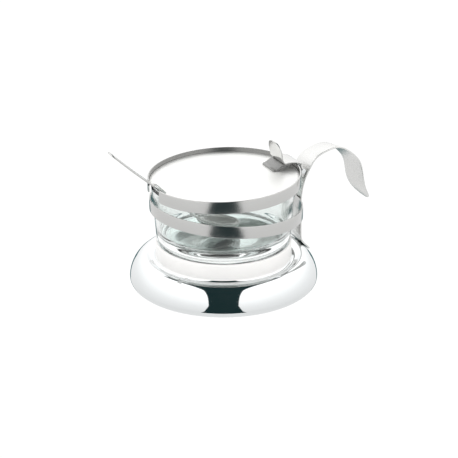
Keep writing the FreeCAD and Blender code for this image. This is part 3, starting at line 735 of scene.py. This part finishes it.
def base_outside(base):
    """Outside of the base from the rim's lip up to the collar's foot.

    The rim is a quarter ellipse, the shoulder a superellipse, and a free spline joins them to
    the valley round the collar.
    """
    rim, bulge, crest = base.rim_radius / MM, base.bulge_radius / MM, base.crest_radius / MM
    stand, low, high = base.stand / MM, base.bulge_height / MM, base.crest_height / MM
    angle = np.arange(6) * np.pi / 12
    lower = np.stack([rim + (bulge - rim) * np.sin(angle), low - (low - stand) * np.cos(angle)], 1)
    angle = np.linspace(0, np.pi / 2, 14)
    power = 2 / base.fullness
    shoulder = np.stack([crest + (bulge - crest) * np.clip(np.cos(angle), 0, 1) ** power,
                         low + (high - low) * np.sin(angle) ** power], 1)
    valley = base.valley_height / MM
    foot = base.collar_radius / MM + VALLEY_ROUND
    tail = [[(crest + foot) / 2, valley + (high - valley) * 0.45], [foot, valley]]
    return smooth_curve(np.concatenate([[[rim - 2.5, stand]], lower, shoulder, tail]), 150)


def base_profile(base, glass):
    """The whole section of the spun shell, from the middle of the seat round to its underside."""
    outside = base_outside(base)
    run = unit(np.gradient(outside, axis=0))
    sheet = base.sheet / MM
    inside = outside + np.stack([-run[:, 1], run[:, 0]], 1) * sheet
    inside[-1] = outside[-1] - [0, sheet]
    collar, top, valley = base.collar_radius / MM, base.collar_height / MM, base.valley_height / MM
    seat, seat_radius = top - SEAT_DEPTH, glass.foot_radius / MM + 0.4
    edge, foot = COLLAR_ROUND, VALLEY_ROUND
    return np.concatenate([
        [[SEAT_EDGE, seat], [seat_radius - SEAT_ROUND, seat]],
        arc((seat_radius - SEAT_ROUND, seat + SEAT_ROUND), SEAT_ROUND, -90, 0, 5)[1:],
        arc((seat_radius + 0.2, top - 0.2), 0.2, 180, 90, 4),
        arc((collar - edge, top - edge), edge, 90, 0, 14),
        np.stack([np.full(10, collar), np.linspace(top - edge, valley + foot, 12)[1:-1]], 1),
        arc((collar + foot, valley + foot), foot, 180, 270, 16), outside[:-1][::-1],
        inside, [[collar - sheet, valley - sheet], [collar - sheet, seat - sheet],
                 [SEAT_EDGE, seat - sheet]]])


def glass_profile(glass):
    """Section of the cup from the middle of its floor, over the rim, to the middle underneath."""
    foot, belly, rim = glass.foot_radius / MM, glass.belly_radius / MM, glass.rim_radius / MM
    low, top, wall, corner = glass.foot / MM, glass.top / MM, glass.wall / MM, glass.inner_corner / MM
    belly_level = low + SEAT_DEPTH + BELLY_RISE
    floor = low + glass.floor / MM
    lip = wall / 2
    flare = (rim - belly) / (top - belly_level)
    inner_rim = rim - wall
    inner_corner = inner_rim - (top - lip - floor - corner) * flare
    over_seat = low + SEAT_DEPTH
    outer = smooth_curve([[foot, over_seat], [belly - 0.9, over_seat + (belly_level - over_seat) * 0.38],
                          [belly - 0.25, over_seat + (belly_level - over_seat) * 0.70],
                          [belly, belly_level]], 24)
    wall_line = np.linspace(0, 1, 22)[1:-1, None]
    inside_low, inside_high = np.array([inner_corner, floor + corner]), np.array([inner_rim, top - lip])
    return np.concatenate([
        [[10, floor]], np.stack([np.linspace(20, inner_corner - corner - 0.5, 8), np.full(8, floor)], 1),
        arc((inner_corner - corner, floor + corner), corner, -90, 0, 20),
        inside_low * (1 - wall_line) + inside_high * wall_line,
        arc((rim - lip, top - lip), lip, 180, 0, 20),
        np.array([[rim, top - lip]]) * (1 - wall_line) + np.array([[belly, belly_level]]) * wall_line,
        outer[::-1], arc((foot - 0.5, low + 0.5), 0.5, 0, -90, 6), [[25, low], [10, low]]])


def lid_outline(hoops, lid, inset):
    """The lid plate's outline seen from above: a circle with a notch that has two round corners."""
    radius = (hoops.band_radius - hoops.sheet) / MM - inset
    shift = hoops.band_shift / MM
    half, corner = lid.notch_half / MM + inset, lid.notch_corner / MM
    low, high = lid.notch_side / MM - half, lid.notch_side / MM + half
    inner = shift - hoops.band_radius / MM + lid.notch_depth / MM + inset
    angle = np.linspace(-np.pi - math.asin(low / radius), np.pi - math.asin(high / radius), 260)
    circle = np.stack([shift + radius * np.cos(angle), radius * np.sin(angle)], 1)
    upper_side = np.stack([np.linspace(circle[-1, 0], inner - corner, 8)[1:-1], np.full(6, high)], 1)
    lower_side = np.stack([np.linspace(inner - corner, circle[0, 0], 8)[1:-1], np.full(6, low)], 1)
    back = np.stack([np.full(9, inner), np.linspace(high - corner, low + corner, 11)[1:-1]], 1)
    return np.concatenate([circle, upper_side, arc((inner - corner, high - corner), corner, 90, 0, 9), back,
                           arc((inner - corner, low + corner), corner, 0, -90, 9), lower_side])


def lid_surface(hoops, lid):
    """The lid plate: shares of its outline from the middle out, over its edge and back.

    Height over a point is the dome h (1 - (r / R)^2) plus the slant x tan(slope).
    """
    sheet, dome = lid.sheet / MM, lid.dome / MM
    shift, edge = hoops.band_shift / MM, (hoops.band_radius - hoops.sheet) / MM
    middle = np.array([shift, 0.0])
    outline = lid_outline(hoops, lid, LID_FIT)
    inner = lid_outline(hoops, lid, LID_FIT + sheet * 0.25)
    shares = np.linspace(0.03, 1, 30)[:, None, None]
    flat = middle + (inner - middle) * shares
    over_edge = np.array([0.35, 0.75, 1.0, 1.0, 0.75, 0.35])[:, None, None]
    flat = np.concatenate([flat, inner + (outline - inner) * over_edge, flat[::-1]])
    drop = np.concatenate([np.zeros(30), np.array([0.03, 0.12, 0.3, 0.7, 0.88, 0.97]), np.ones(30)]) * sheet
    away = np.linalg.norm(flat - middle, axis=2) / edge
    rise = math.tan(hoops.band_slope)
    height = ((hoops.band_top - lid.recess) / MM + dome * (1 - away ** 2) + rise * flat[..., 0]
              - drop[:, None])
    return np.concatenate([flat, height[..., None]], axis=2)


def lid_top(x, hoops, lid):
    """Height of the lid plate's top on the middle line, in millimetres."""
    shift, edge = hoops.band_shift / MM, (hoops.band_radius - hoops.sheet) / MM
    return ((hoops.band_top - lid.recess) / MM + math.tan(hoops.band_slope) * x
            + lid.dome / MM * (1 - ((x - shift) / edge) ** 2))


def strip_path(strip, base, hoops, strap):
    """Middle line of the strip: foot on the shoulder, strut, rise, crest, fall and flared tip."""
    thickness, face, crest = strip.thickness / MM, strip.face / MM, base.crest_height / MM
    lift = thickness / 2 + FOOT_GAP
    radius = face + np.array(FOOT_REACHES)
    fall = (shoulder_height(radius + 0.05, base) - shoulder_height(radius - 0.05, base)) / 0.1
    out = unit(np.stack([-fall, np.ones(3)], 1))
    foot = np.stack([radius, shoulder_height(radius, base)], 1) + out * lift
    strut, ring = face + thickness / 2, hoops.ring_top / MM
    lower = [[strut + out_by, crest + up] for out_by, up in STRUT_BEND]
    lower += [[strut, ring - down] for down in STRUT_LEVELS]
    free = np.array(STRIP_BENDS) + [strap.hinge_x / MM, strap.hinge_z / MM]
    return in_plane(smooth_curve(np.concatenate([foot, lower, free]), 260))


def strip_shape(strip, path):
    """Widths and side vectors of the strip.

    The leaf swells by sin^2 and its end narrows as (1 - s^2.1)^0.8. The side vector turns from
    square to skew by 3 b^2 - 2 b^3.
    """
    s = np.linspace(0, 1, len(path))
    width, leaf, tip = strip.width / MM, strip.leaf_width / MM, strip.tip_width / MM
    leaf_start = 1 - strip.leaf_length / MM / distances(path)[-1]
    swell = np.clip((s - SWELL_START) / (leaf_start - SWELL_START), 0, 1)
    taper = np.clip((s - leaf_start) / (1 - leaf_start), 0, 1)
    widths = np.where(taper > 0, tip + (leaf - tip) * (1 - taper ** 2.1) ** 0.8,
                      width + (leaf - width) * np.sin(swell * np.pi / 2) ** 2)
    blend = eased(np.clip((s - SKEW_START) / SKEW_LENGTH, 0, 1))
    return widths, np.stack([strip.yaw * blend, np.ones(len(s)), strip.roll * blend], 1)


def strap_path(strap):
    """Middle line of the lid strap: knuckle, over the band, flat, fold and upturned tab."""
    x, z, fold = strap.hinge_x / MM, strap.hinge_z / MM, strap.fold_x / MM
    middle = (strap.top - strap.thickness / 2) / MM
    tab, lean = strap.tab_height / MM, strap.tab_lean / MM
    points = [[x - 0.6, z + (strap.knuckle_radius - strap.thickness / 2) / MM + 0.1],
              [x - 0.9, z + STRAP_RISE], [x - 3.4, middle - 1.0], [x - 7.6, middle], [fold + 4.0, middle],
              [fold + STRAP_BEND, middle + 0.1], [fold + 0.2, middle + STRAP_BEND],
              [fold - lean * 0.35, middle + tab * 0.45], [fold - lean, middle + tab]]
    return in_plane(smooth_curve(points, 160))


def strap_widths(strap, path):
    """Widths of the strap: it spreads from the knuckle and its tab is rounded off at the top."""
    s = np.linspace(0, 1, len(path))
    width, knuckle = strap.width / MM, 2 * strap.knuckle_half / MM
    tab_start = 1 - strap.tab_height / MM * TAB_ROUND / distances(path)[-1]
    spread = np.clip((s - SPREAD_START) / SPREAD_LENGTH, 0, 1)
    taper = np.clip((s - tab_start) / (1 - tab_start), 0, 1)
    return np.where(taper > 0, width * (1 - taper ** 2.4) ** 0.5 + STRAP_TIP * taper,
                    knuckle + (width - knuckle) * spread)


def rod_y(name, radius, half, x, z, head_radius=0.0, head=0.0):
    """A rod along Y, turned from its section, with rounded ends or two domed heads."""
    if head:
        dome = arc((head_radius - 0.35, half + head - 0.35), 0.35, 0, 90, 5)
        end = np.concatenate([[[radius, half], [head_radius, half]], dome, [[0.2, half + head]]])
    else:
        end = np.concatenate([arc((radius - 0.2, half - 0.2), 0.2, 0, 90, 4), [[0.2, half]]])
    profile = np.concatenate([(end * [1, -1])[::-1], end])
    angle = np.linspace(0, 2 * np.pi, 48, endpoint=False)
    r, y = profile[:, 0][:, None], profile[:, 1][:, None]
    return surface(name, np.stack([x + r * np.cos(angle), y + 0 * angle, z + r * np.sin(angle)], 2),
                   grain_across=True)


def spoon_place(points, spoon, glass):
    """From the spoon's own frame, with the rim crossing at its origin, to its place in the cup."""
    reach = glass.wall / MM / 2 + SPOON_REST_GAP
    rim_x = -math.sqrt((glass.rim_radius / MM - glass.wall / MM / 2) ** 2
                       - (spoon.side / MM + spoon.neck_width / MM / 2) ** 2)
    c, s = math.cos(spoon.slope), math.sin(spoon.slope)
    turn = np.array([[c, 0, s], [0, 1, 0], [-s, 0, c]])
    rim_z = (glass.top - glass.wall / 2) / MM
    return points @ turn.T + [rim_x + reach * s, spoon.side / MM, rim_z + reach * c]


def spoon_handle(spoon, glass):
    """The spoon's handle: a thin bar with a round free end, a wide part and a narrow neck."""
    outside, inside, shank = spoon.outside / MM, spoon.inside / MM, spoon.shank / MM
    wide, neck, lift = spoon.end_width / MM, spoon.neck_width / MM, spoon.thickness / MM / 2
    path = in_plane(smooth_curve([[-outside, lift + 0.8], [-outside / 2, lift], [-shank, lift],
                                  [inside / 2, lift], [inside, lift]], 140))
    along = path[:, 0]
    tip = np.clip((along + outside) / SPOON_END_ROUND, 0, 1)
    blend = eased(np.clip((along + shank) / shank, 0, 1))
    rounded = SPOON_END_WIDTH + (wide - SPOON_END_WIDTH) * np.sqrt(1 - (1 - tip) ** 2)
    widths = np.where(tip < 1, rounded, wide + (neck - wide) * blend)
    origin, across = spoon_place(np.array([[0.0, 0.0, 0.0], [0.0, 1.0, 0.0]]), spoon, glass)
    side = (across - origin)[None]
    return bar("spoon_handle", spoon_place(path, spoon, glass), widths, spoon.thickness / MM, side)


def spoon_dish(spoon, glass):
    """The oval dish: two ellipsoids joined by a round rim.

    Each is x = a cos v sin u, y = b sin v sin u, z = -c cos u.
    """
    a, b, c = spoon.bowl_length / MM / 2, spoon.bowl_width / MM / 2, spoon.bowl_depth / MM
    sheet = spoon.thickness / MM
    low = np.linspace(0.03, np.pi / 2, 28)[:, None]
    turn = np.linspace(0, 2 * np.pi, 96, endpoint=False)

    def shell(inset):
        return np.stack([(a - inset) * np.cos(turn) * np.sin(low), (b - inset) * np.sin(turn) * np.sin(low),
                         -(c - inset) * np.cos(low) + 0 * turn], 2)

    inner, outer = shell(sheet), shell(0.0)
    rim = [inner[-1] * (1 - k) + outer[-1] * k + [0, 0, math.sin(k * math.pi) * sheet * 0.3]
           for k in (0.2, 0.4, 0.6, 0.8)]
    grid = np.concatenate([inner, np.stack(rim), outer[::-1]])
    tilt = spoon.bowl_tilt
    turned_grid = grid @ np.array([[math.cos(tilt), 0, math.sin(tilt)], [0, 1, 0],
                                   [-math.sin(tilt), 0, math.cos(tilt)]])
    reach = a - sheet
    own = turned_grid + [spoon.inside / MM + reach * math.cos(tilt), 0, sheet * 0.7 + reach * math.sin(tilt)]
    return surface("spoon_dish", spoon_place(own, spoon, glass))


# ---- operators -----------------------------------------------------------------------------

class AddBase(bpy.types.Operator):
    """Adds the spun steel base"""
    bl_idname = "sugar_bowl.add_base"
    bl_label = "Add base"

    def execute(self, context):
        base = sizes("base")
        made = turned("base_visual", base_profile(base, sizes("glass")), loop=False)
        finished(made, polished_steel(), "polished_steel", "stand", "base_shell")
        # painted light: the collar's faces of the polished steel shell take the matt white material
        made.data.materials.append(collar_painted_light())
        centres = face_centres(made.data)
        away = np.hypot(centres[:, 0], centres[:, 1])
        within = away > base.collar_radius - COLLAR_WITHIN
        collar_faces_painted_light = within & (away < base.collar_radius + COLLAR_BEYOND)
        above = centres[:, 2] > base.valley_height + COLLAR_ABOVE
        made.data.polygons.foreach_set("material_index", (collar_faces_painted_light & above).astype(np.int32))
        return {"FINISHED"}


class AddUnderside(bpy.types.Operator):
    """Adds the closing plate and the rubber ring under the base"""
    bl_idname = "sugar_bowl.add_underside"
    bl_label = "Add underside"

    def execute(self, context):
        base = sizes("base")
        level_z = base.stand / MM + base.sheet / MM
        boss, reach = base.boss_radius / MM, base.plate_radius / MM
        under = rounded_line([[2, 0], [boss, 0], [boss + level_z, level_z], [reach, level_z]], 1.2, 60)
        over = (under + [0, PLATE_SHEET])[::-1]
        plate = turned("closing_plate_visual", np.concatenate([under, over]), loop=False)
        finished(plate, satin_steel(), "satin_steel", "stand", "closing_plate")
        outline = rounded_rectangle(base.pad_width / MM, level_z, 0.5)[0]
        middle = [base.pad_radius / MM - base.pad_width / MM / 2, level_z / 2]
        pad = turned("non_slip_ring_visual", outline + middle)
        finished(pad, black_rubber(), "rubber", "stand", "non_slip_ring")
        return {"FINISHED"}


class AddGlass(bpy.types.Operator):
    """Adds the glass cup"""
    bl_idname = "sugar_bowl.add_glass"
    bl_label = "Add glass"

    def execute(self, context):
        made = turned("glass_visual", glass_profile(sizes("glass")), loop=False)
        finished(made, clear_glass(), "glass", "glass", "glass_bowl")
        return {"FINISHED"}


class AddHoops(bpy.types.Operator):
    """Adds the ring that holds the glass and the lid's band"""
    bl_idname = "sugar_bowl.add_hoops"
    bl_label = "Add hoops"

    def execute(self, context):
        hoops, lid = sizes("hoops"), sizes("lid")
        metal = satin_steel("Satin hoops", roughness=0.17)
        ring = hoop("holder_ring_visual", hoops.ring_radius / MM, hoops.sheet / MM, hoops.ring_top / MM,
                    hoops.height / MM, hoops.ring_slope, hoops.ring_shift / MM)
        finished(ring, metal, "satin_steel", "stand", "holder_ring")
        band = hoop("lid_band_visual", hoops.band_radius / MM, hoops.sheet / MM, hoops.band_top / MM,
                    hoops.height / MM, hoops.band_slope, hoops.band_shift / MM,
                    ((lid.notch_side - lid.notch_half) / MM, (lid.notch_side + lid.notch_half) / MM))
        finished(band, metal, "satin_steel", "lid", "lid_band")
        # painted shade: the band's inside faces get a copy of the satin steel darkened to 0.42
        band.data.materials.append(satin_steel("Satin hoop inside", lightness=0.42))
        centres = face_centres(band.data)
        away = np.hypot(centres[:, 0] - hoops.band_shift, centres[:, 1])
        band.data.polygons.foreach_set("material_index",
                                       (away < hoops.band_radius - 0.75 * hoops.sheet).astype(np.int32))
        return {"FINISHED"}


class AddLidPlate(bpy.types.Operator):
    """Adds the lid's domed plate with its notch"""
    bl_idname = "sugar_bowl.add_lid_plate"
    bl_label = "Add lid plate"

    def execute(self, context):
        made = surface("lid_plate_visual", lid_surface(sizes("hoops"), sizes("lid")), grain_across=True)
        # painted light: the lid plate gets a satin steel copy lightened 1.62 times, standing in for its
        # blown-out brightness
        lid_painted_light = satin_steel("Bright lid", lightness=1.62, roughness=0.42)
        finished(made, lid_painted_light, "polished_steel", "lid", "lid_plate")
        return {"FINISHED"}


class AddHandle(bpy.types.Operator):
    """Adds the bent strip that is strut and handle in one"""
    bl_idname = "sugar_bowl.add_handle"
    bl_label = "Add handle"

    def execute(self, context):
        strip = sizes("strip")
        path = strip_path(strip, sizes("base"), sizes("hoops"), sizes("strap"))
        widths, side = strip_shape(strip, path)
        made = bar("handle_visual", path, widths, strip.thickness / MM, side)
        # painted light: a copy of the satin steel lightened 1.22 times, for the strip's near-white faces
        finished(made, satin_steel("Satin strip", lightness=1.22), "satin_steel", "stand", "handle_strip")
        return {"FINISHED"}


class AddHinge(bpy.types.Operator):
    """Adds the hinge pin and gives the bracket its finish"""
    bl_idname = "sugar_bowl.add_hinge"
    bl_label = "Add hinge"

    def execute(self, context):
        strap = sizes("strap")
        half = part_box("hinge_pin")[1].y / MM - PIN_HEAD
        pin = rod_y("hinge_pin_visual", strap.pin_radius / MM, half,
                    strap.hinge_x / MM, strap.hinge_z / MM, strap.pin_head / MM, PIN_HEAD)
        finished(pin, polished_steel(), "polished_steel", "stand", "hinge_pin")
        bracket = FRAME["nodes"]["hinge_bracket"]
        bracket.data.materials.clear()
        bracket.data.materials.append(satin_steel("Satin bracket", coordinates="Object"))
        return {"FINISHED"}


class AddStrap(bpy.types.Operator):
    """Adds the lid's strap with its tab and knuckle, and its leg"""
    bl_idname = "sugar_bowl.add_strap"
    bl_label = "Add strap"

    def execute(self, context):
        strap, hoops, lid = sizes("strap"), sizes("hoops"), sizes("lid")
        square = np.array([0.0, 1.0, 0.0])
        sheet = strap.thickness / MM
        path = strap_path(strap)
        body = bar("strap_body", path, strap_widths(strap, path), sheet, square)
        knuckle = rod_y("strap_knuckle", strap.knuckle_radius / MM, strap.knuckle_half / MM,
                        strap.hinge_x / MM, strap.hinge_z / MM)
        made = joined("lid_strap_visual", [body, knuckle])
        metal = satin_steel("Satin strap", lightness=1.1, roughness=0.16)
        finished(made, metal, "satin_steel", "lid", "lid_strap")
        low = strap.fold_x / MM - strap.leg_reach / MM
        toe, high = low - LEG_FOOT, strap.fold_x / MM + LEG_PAST_FOLD
        top = strap.top / MM - sheet
        leg_path = rounded_line([[toe, lid_top(toe, hoops, lid) + sheet / 2],
                                 [low + 0.3, lid_top(low, hoops, lid) + sheet / 2],
                                 [high - 0.3, top - sheet / 2],
                                 [high + LEG_LAP, top - sheet / 2]], LEG_SOFTNESS, 60)
        s = np.clip((leg_path[:, 0] - toe) / LEG_TOE_ROUND, 0, 1)
        widths = strap.width / MM - LEG_TOE_NARROWING * (1 - np.sqrt(1 - (1 - s) ** 2))
        leg = bar("strap_leg_visual", in_plane(leg_path), widths, sheet, square)
        # painted shade: the leg gets a copy of the satin steel darkened to 0.44
        finished(leg, satin_steel("Satin leg", lightness=0.44), "satin_steel", "lid", "strap_leg")
        return {"FINISHED"}


class AddSpoon(bpy.types.Operator):
    """Adds the spoon"""
    bl_idname = "sugar_bowl.add_spoon"
    bl_label = "Add spoon"

    def execute(self, context):
        spoon, glass = sizes("spoon"), sizes("glass")
        made = joined("spoon_visual", [spoon_handle(spoon, glass), spoon_dish(spoon, glass)])
        finished(made, satin_steel(), "satin_steel", "spoon", "spoon")
        return {"FINISHED"}


def bent_card(name, stage, facing, rise, half, strength=1.0):
    """A card bent round the bowl: R (cos e f + sin e up) over the rises e, by a straight width."""
    side = np.array([-facing[1], facing[0], 0.0])
    rise = rise[:, None, None]
    across = np.linspace(-1, 1, 8)[None, :, None] * half[:, None, None]
    up = np.array([0.0, 0.0, 1.0])
    points = stage.card_radius * (np.cos(rise) * facing + np.sin(rise) * up) + across * side
    rows, columns = points.shape[:2]
    row, column = np.indices((rows - 1, columns - 1)).reshape(2, -1)
    first = row * columns + column
    quads = np.stack([first, first + 1, first + columns + 1, first + columns], 1)
    mesh = bpy.data.meshes.new(name)
    mesh.from_pydata(points.reshape(-1, 3).tolist(), [], quads.tolist())
    card = bpy.data.objects.new(name, mesh)
    bpy.context.scene.collection.objects.link(card)
    made, shader, _ = new_material(name)
    shader.inputs["Base Color"].default_value = (0, 0, 0, 1)
    shader.inputs["Specular IOR Level"].default_value = 0.0
    shader.inputs["Emission Color"].default_value = (*stage.card_colour, 1)
    shader.inputs["Emission Strength"].default_value = strength
    mesh.materials.append(made)
    card.visible_camera = False
    card.visible_shadow = False
    card.visible_diffuse = False
    card.visible_transmission = False


def dark_cards(stage):
    """One dark card from low in front of the bowl to over it, and a low one behind it."""
    towards = np.array([CAMERA_PLACE.x, CAMERA_PLACE.y, 0.0])
    towards /= np.linalg.norm(towards)
    rise = np.radians(np.linspace(*FRONT_CARD_RISES, 60))
    flare = 1 + 0.45 * np.clip((0.1 - rise) / 0.6, 0, 1) + 0.5 * np.clip((rise - 1.2) / 0.9, 0, 1)
    bent_card("front_card", stage, towards, rise, stage.card_half * flare)
    low = np.radians(np.linspace(*BACK_CARD_RISES, 12))
    half = np.full(12, BACK_CARD_WIDTH * stage.card_half)
    bent_card("back_card", stage, -towards, low, half, BACK_CARD_STRENGTH)


def white_surroundings(stage):
    """White for the camera; for the metal a soft rise from ground over horizon to sky."""
    world = bpy.data.worlds.new("White surroundings")
    bpy.context.scene.world = world
    world.use_nodes = True
    nodes, links = world.node_tree.nodes, world.node_tree.links
    nodes.clear()
    place = nodes.new("ShaderNodeTexCoord")
    split = nodes.new("ShaderNodeSeparateXYZ")
    ramp = nodes.new("ShaderNodeValToRGB")
    shift = nodes.new("ShaderNodeMapRange")
    shift.inputs["From Min"].default_value = -1.0
    ramp.color_ramp.elements[0].position = GROUND_UP_TO
    ramp.color_ramp.elements[0].color = (stage.ground, stage.ground, stage.ground, 1)
    ramp.color_ramp.elements[1].position = SKY_FROM
    ramp.color_ramp.elements[1].color = (stage.sky, stage.sky, stage.sky, 1)
    middle = ramp.color_ramp.elements.new(0.5)
    middle.color = (stage.horizon, stage.horizon, stage.horizon, 1)
    seen, around = nodes.new("ShaderNodeBackground"), nodes.new("ShaderNodeBackground")
    seen.inputs["Color"].default_value = (1, 1, 1, 1)
    seen.inputs["Strength"].default_value = CAMERA_WHITE
    ray = nodes.new("ShaderNodeLightPath")
    mix = nodes.new("ShaderNodeMixShader")
    end = nodes.new("ShaderNodeOutputWorld")
    links.new(place.outputs["Generated"], split.inputs[0])
    links.new(split.outputs["Z"], shift.inputs["Value"])
    links.new(shift.outputs[0], ramp.inputs["Fac"])
    links.new(ramp.outputs["Color"], around.inputs["Color"])
    links.new(ray.outputs["Is Camera Ray"], mix.inputs["Fac"])
    links.new(around.outputs[0], mix.inputs[1])
    links.new(seen.outputs[0], mix.inputs[2])
    links.new(mix.outputs[0], end.inputs["Surface"])


class SetStage(bpy.types.Operator):
    """Sets the surroundings, the dark cards and the camera"""
    bl_idname = "sugar_bowl.set_stage"
    bl_label = "Set stage"

    def execute(self, context):
        stage = sizes("stage")
        scene = context.scene
        white_surroundings(stage)
        dark_cards(stage)
        camera = bpy.data.objects.new("camera", bpy.data.cameras.new("camera"))
        scene.collection.objects.link(camera)
        camera.data.sensor_width = 36.0
        camera.data.lens = stage.lens
        camera.data.clip_start = 0.01
        camera.location = CAMERA_PLACE
        camera.rotation_euler = (CAMERA_TARGET - CAMERA_PLACE).to_track_quat("-Z", "Y").to_euler()
        scene.camera = camera
        scene.view_settings.view_transform = "Standard"
        scene.cycles.max_bounces = 16
        scene.cycles.transmission_bounces = 16
        scene.cycles.glossy_bounces = 8
        return {"FINISHED"}


OPERATORS = (AddBase, AddUnderside, AddGlass, AddHoops, AddLidPlate, AddHandle, AddHinge, AddStrap,
             AddSpoon, SetStage)


class SugarBowlPanel(bpy.types.Panel):
    """Lists the bowl's pieces"""
    bl_idname = "VIEW3D_PT_sugar_bowl"
    bl_label = "Sugar Bowl"
    bl_space_type = "VIEW_3D"
    bl_region_type = "UI"
    bl_category = "Sugar Bowl"

    def draw(self, context):
        for operator in OPERATORS:
            self.layout.operator(operator.bl_idname)


GROUP_NAMES = ("base", "glass", "hoops", "lid", "strip", "strap", "spoon", "finishes", "stage")


def register():
    for kind in GROUPS + OPERATORS + (SugarBowlPanel,):
        bpy.utils.register_class(kind)
    for name, group in zip(GROUP_NAMES, GROUPS):
        setattr(bpy.types.Scene, "sugar_bowl_" + name, bpy.props.PointerProperty(type=group))


def unregister():
    for name in GROUP_NAMES:
        delattr(bpy.types.Scene, "sugar_bowl_" + name)
    for kind in reversed(GROUPS + OPERATORS + (SugarBowlPanel,)):
        bpy.utils.unregister_class(kind)


def main():
    register()
    for operator in OPERATORS:
        family, name = operator.bl_idname.split(".")
        getattr(getattr(bpy.ops, family), name)()


if __name__ == "__main__":
    main()
